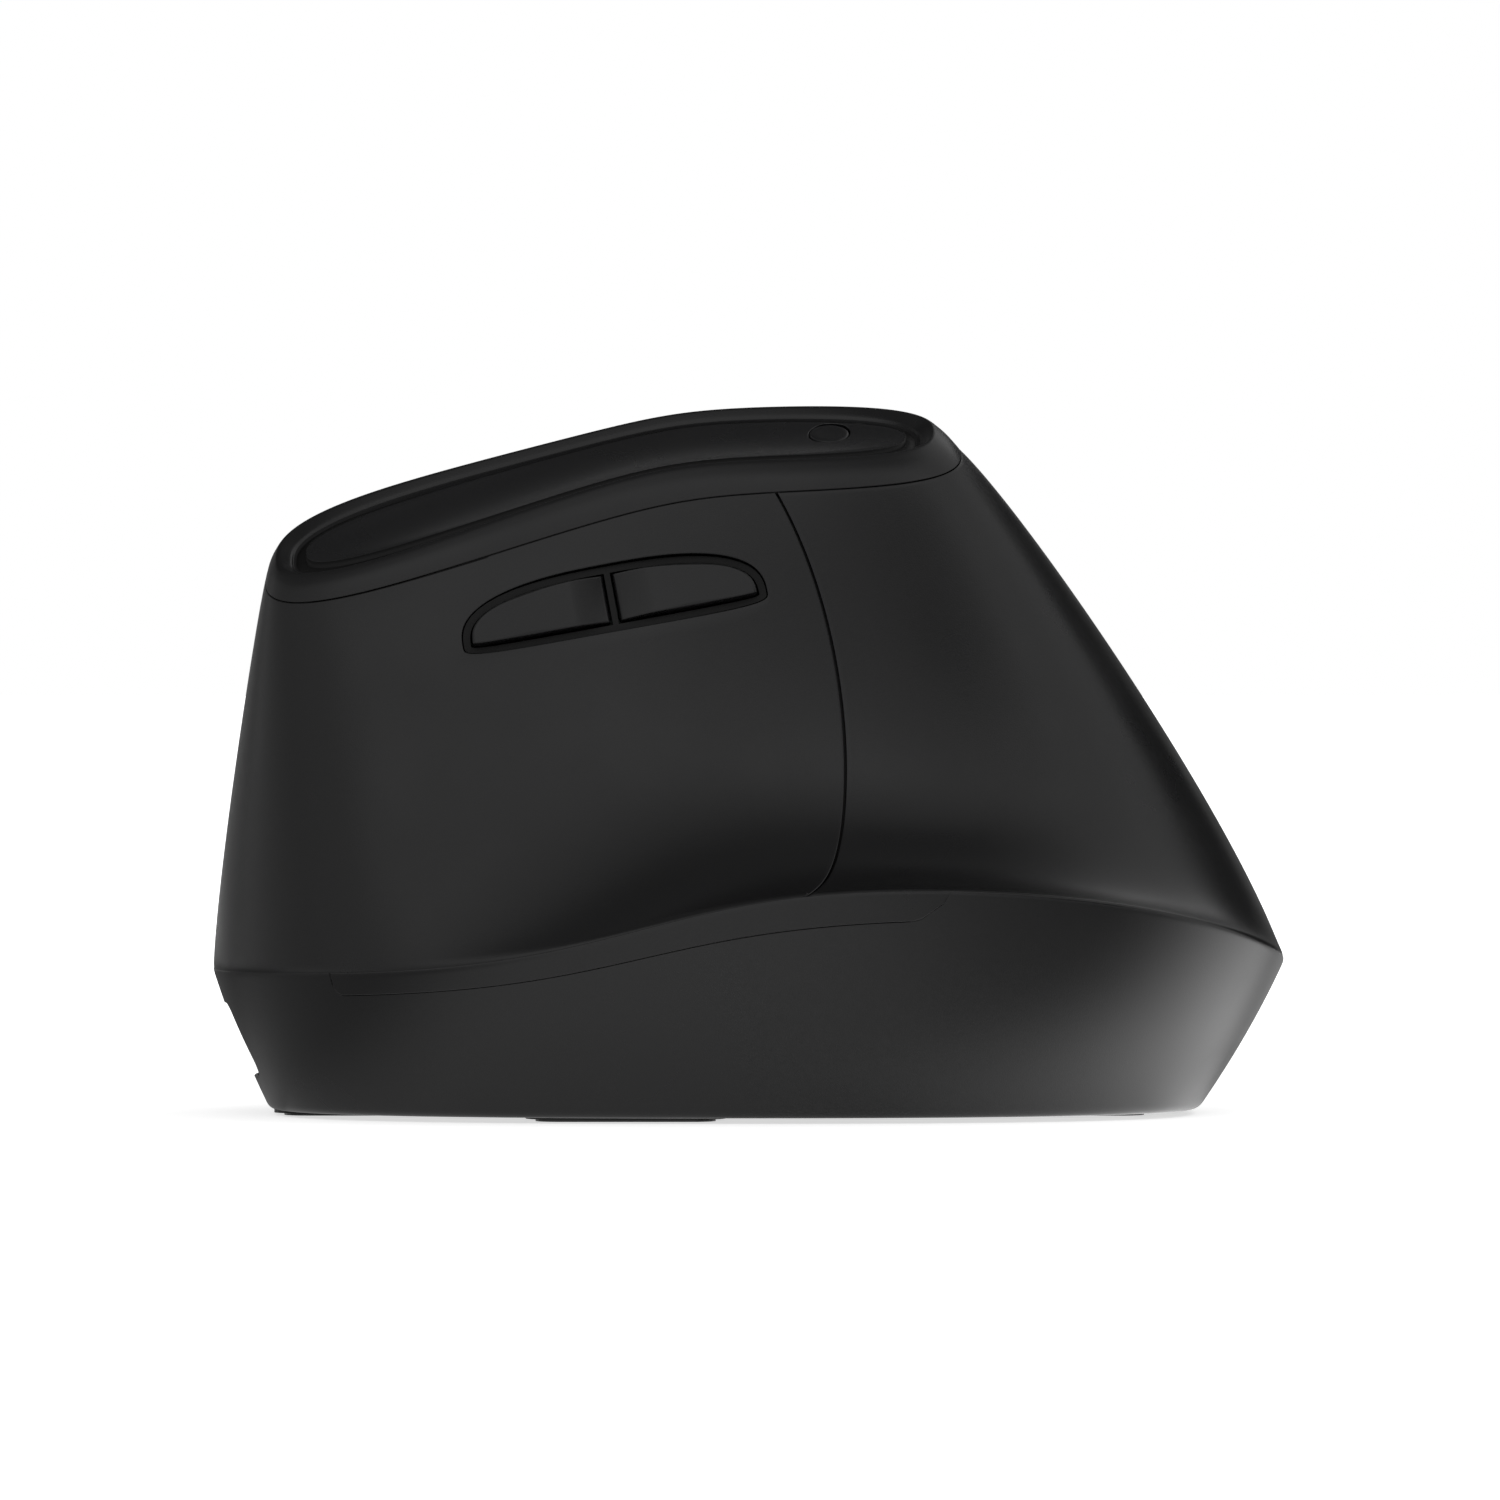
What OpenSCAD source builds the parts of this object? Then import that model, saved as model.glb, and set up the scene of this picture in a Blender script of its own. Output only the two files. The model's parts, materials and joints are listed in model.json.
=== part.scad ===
// Vertical ergonomic mouse for the right hand, in millimetres.
// X runs from the nose (-) to the heel (+), the thumb side faces -Y, the fingers lie on +Y, Z is up.
// "Turn" t goes round the body in degrees: 0 heel, 90 finger side, 180 nose, 270 thumb side.
// "Rise" s climbs the skin from the ledge (0) to the seam of the top cap (1).

/* [Body] */
// Overall length, nose to heel, along the ledge
body_l = 108; // [104:1:114]
// Overall width across the ledge
body_w = 72; // [69:1:78]
// Height of the ledge on the finger side
ledge_h = 14.7; // [13.5:0.1:16]
// How much higher the ledge stands under the thumb
ledge_rise = 10; // [8:0.5:12]
// Length of the flat underside
foot_l = 93.6; // [90:0.2:97]
// Width of the flat underside
foot_w = 56; // [53:0.5:60]
// Shift of the underside towards the nose
foot_shift = 1.5; // [0.5:0.1:2.5]
// Wall of the moulded shells
wall = 2; // [1.8:0.1:2.2]
// Thickness of the base floor
floor_t = 2; // [1.8:0.1:2.4]
// Gap between neighbouring shells
seam_gap = 0.1; // [0.06:0.02:0.16]
// Width of the groove between thumb panel and palm shell
groove_w = 0.35; // [0.25:0.05:0.5]
// How far the upper shells wrap over the ledge
lip_h = 0.8; // [0.6:0.1:1]

/* [Top cap] */
// Height of the cap ring at its middle
crest_h = 69; // [67:0.5:72]
// Length of the cap seam
top_l = 69.8; // [67:0.2:72]
// Width of the cap seam
top_w = 19.2; // [18.4:0.2:20]
// Place of the cap seam's centre along X
top_x = -13.6; // [-15:0.1:-12]
// Place of the cap's centre along Y
top_y = -9; // [-10:0.1:-8]
// How far the crest of the ring is set in from the seam at nose and heel
crest_in_l = 1.75; // [1.5:0.05:2]
// How far the crest of the ring is set in from the seam at the sides
crest_in_w = 1.1; // [0.9:0.05:1.3]
// Height of the ring wall above the seam
rim_h = 3.3; // [3:0.1:3.6]
// Width of the ring from its crest to the groove round the dish
rim_w = 2.6; // [2.4:0.1:2.8]
// Width of the groove round the dish
dish_gap = 0.5; // [0.4:0.05:0.6]
// Depth of the dish edge under the crest
dish_drop = 0.8; // [0.6:0.1:1]
// Extra depth at the middle of the dish
dish_sag = 0.7; // [0.5:0.1:1]
// Thickness of the dish insert
dish_t = 1.5; // [1.3:0.1:1.7]

/* [Main buttons] */
// Turn of the rear edge of the two main buttons
button_rear = 80; // [78:1:84]
// Turn of the front edge of the two main buttons
button_front = 170; // [168:1:172]
// Rise of the lower edge of the lower button
button_low = 0.34; // [0.32:0.01:0.36]
// Rise of the split between the buttons
button_mid = 0.62; // [0.61:0.01:0.63]
// Gap beside a main button
button_gap = 0.3; // [0.25:0.05:0.4]
// Extra gap under the lower button at the nose, where it swings down
button_ease = 0.4; // [0.3:0.05:0.5]
// Gap in front of the main buttons, which swing towards the thumb panel
button_nose_gap = 1; // [0.9:0.1:1.3]
// Diameter of the pins that the buttons hang on
hinge_d = 2; // [1.6:0.1:2.2]
// Depth of the pins under the skin
hinge_depth = 7.5; // [7:0.5:8]

/* [Wheel] */
// Diameter over the tyre
wheel_d = 22; // [21:0.5:23]
// Width of the tyre
wheel_w = 6.6; // [6:0.2:7]
// How far the wheel stands out of the skin
wheel_out = 3.6; // [3:0.2:4]
// Thickness of the rubber tyre
tyre_t = 2.4; // [2:0.1:2.8]
// Grip ribs round the tyre
tyre_ribs = 36; // [24:2:40]
// Diameter of the axle
axle_d = 3; // [2.6:0.1:3.2]
// Distance from the axle to the pivot of the cradle
cradle_r = 15; // [14.6:0.1:15.4]
// Thickness of the cradle's arms
arm_t = 1.8; // [1.6:0.1:2]

/* [Side buttons] */
// Length of the window for the side buttons
side_l = 30.8; // [29:0.2:32]
// Height of the window above its widest line
side_up = 5.6; // [5.2:0.1:6]
// Height of the window below its widest line
side_down = 1.3; // [1.1:0.1:1.5]
// Slant of the window
side_slant = 10.6; // [9:0.2:12]
// Width of the dark ring round the buttons
side_ring = 0.8; // [0.7:0.05:1]
// Width of the bar between the buttons
side_bar = 0.6; // [0.5:0.05:0.8]
// How far the buttons stand out of the panel
side_out = 0.5; // [0.3:0.1:0.7]
// Length of the ramp on each button beside the bar
side_ramp = 3.5; // [3:0.1:4]
// Depth of that ramp
side_ramp_h = 0.9; // [0.7:0.1:1]

/* [Small buttons] */
// Diameter of the button in the dish
dpi_d = 4; // [3.6:0.1:4.2]
// Distance of the button in the dish from the dish's heel end
dpi_end = 7.6; // [7:0.2:8.4]
// Place of the button in the dish along Y, from the middle of the cap
dpi_y = 1.7; // [1.5:0.1:1.8]
// Travel of the pressed buttons
press = 0.6; // [0.4:0.05:0.7]
// Diameter of the pairing button
pair_d = 5; // [4.5:0.1:5.5]
// Length of the power slider's knob
power_l = 4; // [3.5:0.1:4.5]
// Travel of the power slider
power_travel = 2.5; // [2:0.1:3]

/* [Underside] */
// Height of the underside over the table
foot_gap = 0.55; // [0.5:0.05:0.7]
// Length of the end feet along X
end_foot_l = 13.6; // [12:0.2:15]
// Width of the end feet
end_foot_w = 14; // [12:0.5:15]
// Length of the side feet along X
side_foot_l = 18; // [16:0.5:20]
// Width of the side feet
side_foot_w = 6; // [5:0.2:7]
// Width of the pocket round the charging socket
pocket_w = 16; // [14:0.2:17]
// How much wider the pocket's thumb side gets towards its floor
pocket_lean = 1.6; // [0.8:0.2:2]
// Height of that pocket
pocket_h = 7.4; // [6.8:0.1:7.8]
// Depth of that pocket
pocket_d = 3.5; // [3:0.1:3.8]
// Height of the pocket's middle over the table
pocket_z = 7.6; // [7.2:0.1:7.8]
// Diameter of the sensor window
sensor_d = 9; // [8:0.5:10]

/* [Electronics] */
// Length of the main board
board_l = 44; // [42:1:45]
// Width of the main board
board_w = 27; // [26:0.5:28]
// Thickness of the circuit boards
board_t = 1.2; // [1:0.1:1.6]
// Length of a main switch
switch_l = 12.8; // [12.4:0.1:13]
// Width of a main switch
switch_w = 5.8; // [5.4:0.1:6]
// Height of a main switch
switch_h = 6.5; // [6:0.1:6.8]
// Side of a small push switch
tact_w = 6; // [5.6:0.1:6.2]
// Height of a small push switch
tact_h = 2; // [1.8:0.1:2.2]
// How far a switch plunger stands out
plunger_h = 0.8; // [0.75:0.05:1]
// Length of the battery
battery_l = 32; // [28:1:33]
// Width of the battery
battery_w = 22; // [20:1:24]
// Height of the battery
battery_h = 6; // [5:0.5:7]

/* [Fits] */
// Radial play of a pin or shaft in its bore
pin_play = 0.06; // [0.04:0.01:0.09]
// Gap between a moving piece and its neighbour
run_gap = 0.3; // [0.25:0.05:0.4]
// Gap between a button's foot and the switch plunger that it pushes
touch_gap = 0.1; // [0.05:0.05:0.2]
// Gap between pieces that are screwed or glued together
seat_gap = 0.05; // [0.02:0.01:0.08]

/* [Hidden] */
$fn = 48;

// Exponents of the oval outlines: 2 is an ellipse, more is squarer
ledge_n = 2.5;
top_n = 2.5;
// Where the ledge climbs towards the thumb and falls again, in degrees from the thumb side
climb_at = -11;
climb_soft = 9.6;
fall_at = 54;
fall_soft = 14.7;
// Fall of the cap towards the nose, where it starts and how softly
nose_fall = 0.316;
nose_fall_x = 6.1;
nose_fall_soft = 7.3;
// Tilt of the cap towards the thumb, and how it grows away from the middle
cap_tilt = 0.333;
cap_twist = 0.00021;
cap_twist_x = 6;
// How much shorter the ring wall is at nose and heel
rim_thin = 0.75;
// Handles of the skin's rising curve: share of the way in and share of the way up
plain_low = [0.03, 0.22];
plain_high = [0.2, 0.1];
hollow_low = [0.78, 0.05];
hollow_high = [0.22, 0.42];
// Turn and spread of the thumb hollow
hollow_t = 288;
hollow_spread = 46;
// Fullness of the flare under the ledge
flare_full = 0.22;
// Steps of the finite differences
dt = 0.5;
ds = 0.005;
around = 72;

function unit(v) = v/norm(v);
function mix(a, b, f) = a + (b - a)*f;
function flat(v) = [v[0], v[1], 0];
function soft(x, w) = (sqrt(w*w + x*x) + x)/2;
function wrap(d) = d - 360*floor((d + 180)/360);
function oval(t, c, a, b, n) =
    let (r = pow(pow(abs(cos(t)), n) + pow(abs(sin(t)), n), -1/n))
    [c[0] + a*r*cos(t), c[1] + b*r*sin(t)];

// Outlines of the ledge, the underside and the cap
function ledge_z(t) =
    let (d = wrap(t - 270))
    ledge_h + ledge_rise/(1 + exp(-(d - climb_at)/climb_soft))/(1 + exp((d - fall_at)/fall_soft));
function ledge(t) = concat(oval(t, [0, 0], body_l/2, body_w/2, ledge_n), ledge_z(t));
function foot(t, in = 0) =
    concat(oval(t, [-foot_shift, 0], foot_l/2 - in, foot_w/2 - in, ledge_n), foot_gap);
function crest_xy(t, in = 0) =
    oval(t, [top_x - (crest_in_l - crest_in_w)*1.2, top_y], top_l/2 - crest_in_l - in,
        top_w/2 - crest_in_w - in, top_n);
function cap_z(p) =
    crest_h - nose_fall*soft(top_x + nose_fall_x - p[0], nose_fall_soft)
        + (cap_tilt + cap_twist*pow(p[0] - top_x - cap_twist_x, 2))*(p[1] - top_y);
function seam(t) =
    concat(oval(t, [top_x, top_y], top_l/2, top_w/2, top_n),
        cap_z(crest_xy(t)) - rim_h + rim_thin*pow(cos(t), 2));

// The skin between ledge and cap: a cubic curve up each turn, hollowed for the thumb
function hollow(t) = exp(-pow(wrap(t - hollow_t)/hollow_spread, 2));
function skin(t, s) =
    let (low = ledge(t), high = seam(t), d = high - low, w = hollow(t),
        a = mix(plain_low, hollow_low, w), b = mix(plain_high, hollow_high, w),
        p = low + [a[0]*d[0], a[0]*d[1], a[1]*d[2]],
        q = high - [b[0]*d[0], b[0]*d[1], b[1]*d[2]], r = 1 - s)
    r*r*r*low + 3*r*r*s*p + 3*r*s*s*q + s*s*s*high;
function skin_out(t, s) =
    unit(cross(skin(t + dt, s) - skin(t - dt, s), skin(t, min(s + ds, 1)) - skin(t, max(s - ds, 0))));
function inside(t, s, depth) = skin(t, s) - depth*skin_out(t, s);
// A distance on the skin as a change of turn or of rise
function turn_of(t, s, d) = 2*dt*d/norm(skin(t + dt, s) - skin(t - dt, s));
function rise_of(t, s, d) = 2*ds*d/norm(skin(t, s + ds) - skin(t, s - ds));

// The flare between the underside (u = 0) and the ledge (u = 1)
function flare(t, u) =
    let (low = foot(t), high = ledge(t), f = u + flare_full*u*(1 - u))
    [mix(low[0], high[0], f), mix(low[1], high[1], f), mix(low[2], high[2], u)];
function flare_out(t, u) =
    unit(cross(flare(t + dt, u) - flare(t - dt, u), flare(t, u + ds) - flare(t, u - ds)));
function flare_u(t, drop) = 1 - drop/norm(ledge(t) - flare(t, 0.9))*0.1;
function level_in(p, n, d) = p - d*unit(flat(n));
// Turn of the groove between thumb panel and palm shell
function groove_t(s) = 277 + 59.4*s - 39.9*s*s;

// Frames of the mechanisms: origin, then the X, Y and Z directions
finger_yaw = 12;
finger_tilt = 36.5;
wheel_t = 122;
finger_o = skin(wheel_t, button_mid);
finger_fx = [-cos(finger_yaw), -sin(finger_yaw), 0];
finger_fz = [-sin(finger_yaw)*cos(finger_tilt), cos(finger_yaw)*cos(finger_tilt), sin(finger_tilt)];
finger_fy = cross(finger_fz, finger_fx);
function in_finger(p) = [(p - finger_o)*finger_fx, (p - finger_o)*finger_fy, (p - finger_o)*finger_fz];
module finger_frame() {
    translate(finger_o) rotate([90 - finger_tilt, 0, 180 + finger_yaw]) children();
}
// Height of a plane of the finger frame over a point of the floor
function finger_plane_z(x, y, depth) =
    finger_o[2] + (-depth - ([x, y, 0] - flat(finger_o))*finger_fz)/finger_fz[2];
thumb_t = 267.6;
thumb_s = 0.808;
thumb_tilt = 12.8;
thumb_yaw = -1;
thumb_o = skin(thumb_t, thumb_s);
module thumb_frame() {
    translate(thumb_o) rotate([90 - thumb_tilt, 0, thumb_yaw]) rotate(side_slant) children();
}
dish_a = top_l/2 - crest_in_l - rim_w - dish_gap;
dish_b = top_w/2 - crest_in_w - rim_w - dish_gap;
crest_x = crest_xy(90)[0];
dpi_p = [crest_x + dish_a - dpi_end, top_y + dpi_y];
function dish_r(p) = min(1, norm([(p[0] - crest_x)/dish_a, (p[1] - top_y)/dish_b]));
function dish_z(p) = cap_z(p) - dish_drop - dish_sag*(1 - pow(dish_r(p), 2));
dpi_tilt = atan((dish_z(dpi_p + [0, 0.5]) - dish_z(dpi_p - [0, 0.5])));
module dpi_frame() {
    translate(concat(dpi_p, dish_z(dpi_p))) rotate([dpi_tilt, 0, 0]) children();
}

// A closed solid between two grids of points with the same rows and columns
module sheet_solid(outer, inner) {
    rows = len(outer);
    cols = len(outer[0]);
    n = rows*cols;
    function at(r, c) = r*cols + c;
    function both(a, b, c, d) = [[a, b, c], [a, c, d]];
    polyhedron([for (g = [outer, inner]) for (row = g) each row], [
        for (r = [0:rows - 2]) for (c = [0:cols - 2]) let (a = at(r, c))
            each both(a, a + cols, a + cols + 1, a + 1),
        for (r = [0:rows - 2]) for (c = [0:cols - 2]) let (a = at(r, c) + n)
            each both(a, a + 1, a + cols + 1, a + cols),
        for (c = [0:cols - 2]) let (a = at(0, c), b = at(rows - 1, c))
            each concat(both(a, a + 1, a + 1 + n, a + n), both(b, b + n, b + 1 + n, b + 1)),
        for (r = [0:rows - 2]) let (a = at(r, 0), b = at(r, cols - 1))
            each concat(both(a, a + n, a + n + cols, a + cols), both(b, b + cols, b + cols + n, b + n))]);
}

// A closed solid through rings of points, capped flat at both ends
module ring_solid(rings) {
    m = len(rings[0]);
    k = len(rings);
    polyhedron([for (ring = rings) each ring], [
        [for (i = [0:m - 1]) i],
        for (r = [0:k - 2]) for (i = [0:m - 1])
            let (a = r*m + i, b = r*m + (i + 1) % m)
            each [[a, a + m, b + m], [a, b + m, b]],
        [for (i = [m - 1:-1:0]) (k - 1)*m + i]]);
}

// A closed ring: the last ring of points joins the first
module loop_solid(rings) {
    m = len(rings[0]);
    k = len(rings);
    polyhedron([for (ring = rings) each ring], [
        for (r = [0:k - 1]) for (i = [0:m - 1])
            let (j = (i + 1) % m, up = ((r + 1) % k)*m, a = r*m + i, b = r*m + j, c = up + i, d = up + j)
            each [[a, c, d], [a, d, b]]]);
}

// A shell of the skin: ts gives turn and rise for shares across and up, with a lip over the ledge
function lip_out(t) = flare(t, flare_u(t, lip_h));
function lip_in(t) = level_in(lip_out(t), flare_out(t, flare_u(t, lip_h)), wall);
// On the shelf of the hollow the inner face starts further in
shelf_in = 0.1;
function inner_s(t, s) = let (from = shelf_in*hollow(t)) from + (1 - from)*s;
module skin_panel(ts, cols, rows, lip) {
    q = [for (r = [0:rows]) [for (c = [0:cols]) ts(c/cols, r/rows)]];
    outer = [for (row = q) [for (p = row) skin(p[0], p[1])]];
    inner = [for (row = q) [for (p = row) inside(p[0], lip ? inner_s(p[0], p[1]) : p[1], wall)]];
    sheet_solid(lip ? concat([[for (p = q[0]) lip_out(p[0])]], outer) : outer,
        lip ? concat([[for (p = q[0]) lip_in(p[0])]], inner) : inner);
}

function round_box(l, w, r) = [for (c = [[1, 1, 0], [-1, 1, 90], [-1, -1, 180], [1, -1, 270]])
    for (a = [0:15:90]) [c[0]*(l/2 - r) + r*cos(a + c[2]), c[1]*(w/2 - r) + r*sin(a + c[2])]];
function about(c, half) = [c - half, c + half];
module post(x, y, z0, z1, d) {
    translate([x, y, z0]) cylinder(d = d, h = z1 - z0);
}
module block(x, y, z) {
    translate([x[0], y[0], z[0]]) cube([x[1] - x[0], y[1] - y[0], z[1] - z[0]]);
}
// A rod along Y of the current frame
module rod(x, z, y0, y1, d) {
    translate([x, y0, z]) rotate([-90, 0, 0]) cylinder(d = d, h = y1 - y0);
}

// Feet of the inner frame on the floor
legs = [[-34, 15], [0.5, 15], [-27, -8], [1, -1]];
leg_d = 6;
// Heights of the base
floor_z = foot_gap + floor_t;
usb_w = 8.9;
usb_h = 3.3;
usb_l = 7.4;
board_top = pocket_z - usb_h/2;
board_z = board_top - board_t;
pocket_u = (pocket_z - foot_gap)/(ledge_z(180) - foot_gap);
pocket_x = flare(180, pocket_u)[0] + pocket_d;
pocket_r = 1.6;
board_x = pocket_x + wall + 0.4;
sensor_x = -12;
boss_d = 6;
boss_z = floor_z + 1.5;
screw_d = 2;
screw_core = 1.7;
screw_head_d = 3.8;
screw_head_h = 1.2;
screw_l = 8;
board_posts = [for (x = [6, board_l - 3]) for (y = [-1, 1]) [board_x + x, y*(board_w/2 - 2.5)]];
battery_x = legs[3][0] + boss_d/2 + 2;
power_x = -26;
power_y = 8.5;
pair_x = -16;
pair_y = -10;
feet = [[-40, 0, end_foot_l, end_foot_w], [-12.3, -19.5, side_foot_l, side_foot_w],
    [-12.3, 19.5, side_foot_l, side_foot_w], [33, 0, end_foot_l, end_foot_w]];
foot_t = 0.5;
collar = 1;
collar_z = 0.25;

// Finger side: depths under the skin at the wheel
finger_board_z = -16;
switch_top = finger_board_z + switch_h;
plunger_top = switch_top + plunger_h;
wheel_z = wheel_out - wheel_d/2;
plate_z = -19;
plate_t = 2;
// Upper edge of the ramp, clear of the side board
plate_up = 9.5;
plate_rear = -35;
// Spots of the two main switches and of what pushes them
left_at = [8, 9.7];
right_at = [8, -13.4];
middle_at = [-5.5, 9.6];
finger_posts = [[-19.5, -17], [-19.5, 0], [3, -20]];
pivot_x = -cradle_r;
pivot_z = -10;
arm_y = wheel_w/2 + 1.3;
bracket_y = arm_y + arm_t + run_gap;
// Half widths along X of the wheel's bracket and of the ears of the button pins
bracket_half = 3;
ear_half = 2.5;
// Hinge lugs of the buttons; the left pin stays just behind the wheel's bracket
left_pin_x = pivot_x - bracket_half - run_gap - ear_half;
left_pin = [for (s = [0.69, 0.8]) let (p = in_finger(inside(88, s, wall/2))) [left_pin_x, p[1], p[2]]];
right_pin = [for (s = [0.4, 0.56]) in_finger(inside(88, s, wall/2))];
function pin_x(lugs) = (lugs[0][0] + lugs[1][0])/2;
lug_t = 2.4;
lug_w = 3.4;
// Finger board and the ramp's window: middle and size along X and Y
finger_board_at = [-3.5, -4.8];
finger_board_size = [38, 35.4];
plate_window_at = [-13, -20];
plate_window_size = [22, 14];

// Side buttons: levels in the thumb frame
frame_face = -0.7;
flange_z = -4;
flange_t = 1;
key_z = flange_z - flange_t - run_gap;
key_t = 0.8;
stem_z = key_z - key_t - 0.4;
side_switch_z = stem_z - touch_gap - plunger_h;
side_board_z = side_switch_z - tact_h;
key_x = 7;
// Middle of the window's height, where the stems and switches sit
side_mid = 1.2;

// Outline of the side window, drawn in by a distance
function window(in = 0) = [for (f = [0:6:354]) let (up = sin(f) >= 0, n = up ? 2.6 : 4,
    a = side_l/2 - in, b = (up ? side_up : side_down) - in,
    r = pow(pow(abs(cos(f)), n) + pow(abs(sin(f)), n), -1/n)) [a*r*cos(f), -1 + b*r*sin(f)]];

// Corner p of an outline that goes anticlockwise, rounded between its neighbours a and b
function round_corner(a, p, b, r) =
    let (u = unit(a - p), v = unit(b - p), half = acos(u*v)/2, mid = p + unit(u + v)*r/sin(half),
        start = p + u*r/tan(half) - mid, from = atan2(start[1], start[0]))
    [for (i = [0:6]) let (f = from + (180 - 2*half)*i/6) mid + r*[cos(f), sin(f)]];
// Pocket for the charging plug, seen from inside: the thumb side leans out towards the floor
function pocket_outline() =
    let (w = pocket_w/2, h = pocket_h/2, p = [[-w - pocket_lean, -h], [w, -h], [w, h], [-w, h]])
    [for (i = [0:3]) each round_corner(p[(i + 3) % 4], p[i], p[(i + 1) % 4], pocket_r)];

module base_shell() {
    top_u = function(t) flare_u(t, lip_h + seam_gap);
    floor_u = function(t) floor_t/(ledge_z(t) - foot_gap);
    turns = [for (i = [0:around - 1]) 360*i/around];
    steps = 7;
    outer = [for (k = [0:steps]) [for (t = turns) flare(t, mix(0.04, top_u(t), k/steps))]];
    inner = [for (k = [steps:-1:0]) [for (t = turns) let (u = mix(floor_u(t), top_u(t), k/steps))
        level_in(flare(t, u), flare_out(t, u), wall)]];
    // The pocket's back wall ends in the middle of the flared wall
    backing_z = pocket_z + pocket_h/2 + 1.6;
    backing_u = function(t) (backing_z + 0.5 - foot_gap)/(ledge_z(t) - foot_gap);
    mid_wall = [for (k = [0:steps]) [for (t = turns) let (u = mix(0.03, backing_u(t), k/steps))
        level_in(flare(t, u), flare_out(t, u), wall/2)]];
    color("#26272a") difference() {
        union() {
            ring_solid(concat([[for (t = turns) foot(t, 0.6)]], outer, inner));
            for (p = board_posts) post(p[0], p[1], floor_z - 0.5, board_z, 4.6);
            for (p = legs) post(p[0], p[1], floor_z - 0.5, boss_z, boss_d + 2);
            intersection() {
                block([pocket_x - 1, pocket_x + wall], [-pocket_w/2 - pocket_lean - 1.6, pocket_w/2 + 1.6],
                    [floor_z - 0.5, backing_z]);
                ring_solid(mid_wall);
            }
            for (f = feet) translate([f[0], f[1], collar_z]) linear_extrude(foot_gap - collar_z + 0.3)
                polygon(round_box(f[2] + 2*collar, f[3] + 2*collar, 3.5));
        }
        for (f = feet) translate([f[0], f[1], -1]) linear_extrude(foot_gap + 1)
            polygon(round_box(f[2] + 2*seam_gap, f[3] + 2*seam_gap, 2.6));
        for (p = legs) {
            post(p[0], p[1], -1, boss_z + 1, screw_d + 0.4);
            post(p[0], p[1], -1, foot_gap + screw_head_h + 0.2, screw_head_d + 0.6);
        }
        for (p = board_posts) post(p[0], p[1], floor_z + 0.4, board_z + 1, 1.6 + 2*seat_gap);
        post(sensor_x, 0, -1, floor_z + 1, sensor_d);
        post(pair_x, pair_y, -1, floor_z + 1, pair_d + 2*run_gap);
        block(about(power_x, (power_l + power_travel)/2 + run_gap), about(power_y, 1.5 + run_gap),
            [-1, floor_z + 1]);
        translate([pocket_x - 20, 0, pocket_z]) rotate([90, 0, 90]) linear_extrude(20)
            polygon(pocket_outline());
        translate([pocket_x - 2, 0, pocket_z]) rotate([90, 0, 90]) linear_extrude(10)
            polygon(round_box(usb_w + 2*seam_gap, usb_h + 2*seam_gap, usb_h/2));
        strip_patch(seam_gap, 1.5, strip_t + seam_gap);
    }
}

// The strip under the thumb ledge: turns of its ends, its height and its thickness
strip_from = 224;
strip_to = 291;
strip_t = 1.2;
strip_low = 1.5;
strip_swell = 1.1;
function strip_h(t) = strip_low + strip_swell*exp(-pow((t - 276)/26, 2));
// Share of the strip's height at a share of its length: a blunt front end and a slanted rear end
function strip_end(f) = min(1, 0.3 + 40*f, 0.12 + 16*(1 - f));
module strip_patch(grow, out, depth) {
    cols = 36;
    shares = concat([0, 0.0175], [for (c = [1:cols - 3]) c/(cols - 2)], [0.972, 1]);
    rows = [for (f = shares)
        let (t = mix(strip_from - turn_of(strip_from, 0, grow), strip_to + turn_of(strip_to, 0, grow), f))
        [t, flare_u(t, lip_h + seam_gap + strip_h(t)*strip_end(f) + grow),
            flare_u(t, grow > 0 ? -1.2 : lip_h + seam_gap)]];
    outer = [for (k = [0:2]) [for (q = rows) let (u = mix(q[1], q[2], k/2))
        level_in(flare(q[0], u), flare_out(q[0], u), -out)]];
    inner = [for (k = [0:2]) [for (q = rows) let (u = mix(q[1], q[2], k/2))
        level_in(flare(q[0], u), flare_out(q[0], u), depth)]];
    sheet_solid(outer, inner);
}
module ledge_strip() {
    color("#2b2c2f") strip_patch(0, 0, strip_t);
}

module thumb_panel() {
    ts = function(f, s) [mix(button_front + turn_of(button_front, s, button_nose_gap/2),
        groove_t(s) - turn_of(groove_t(s), s, groove_w/2), f), s];
    color("#2a2b2e") difference() {
        skin_panel(ts, 34, 12, true);
        thumb_frame() translate([0, 0, -8]) linear_extrude(20) polygon(window());
    }
}

module palm_shell() {
    ts = function(f, s) [mix(groove_t(s) + turn_of(groove_t(s), s, groove_w/2),
        360 + button_rear - turn_of(button_rear, s, button_gap), f), s];
    color("#2a2b2e") skin_panel(ts, 38, 12, true);
}

module finger_panel() {
    ts = function(f, g) let (t = mix(button_rear + turn_of(button_rear, 0.1, seam_gap),
        button_front - turn_of(button_front, 0.1, seam_gap), f))
        [t, g*(button_low - rise_of(t, button_low, button_gap/2 + button_ease*f*f))];
    color("#2a2b2e") skin_panel(ts, 26, 5, true);
}

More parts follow.
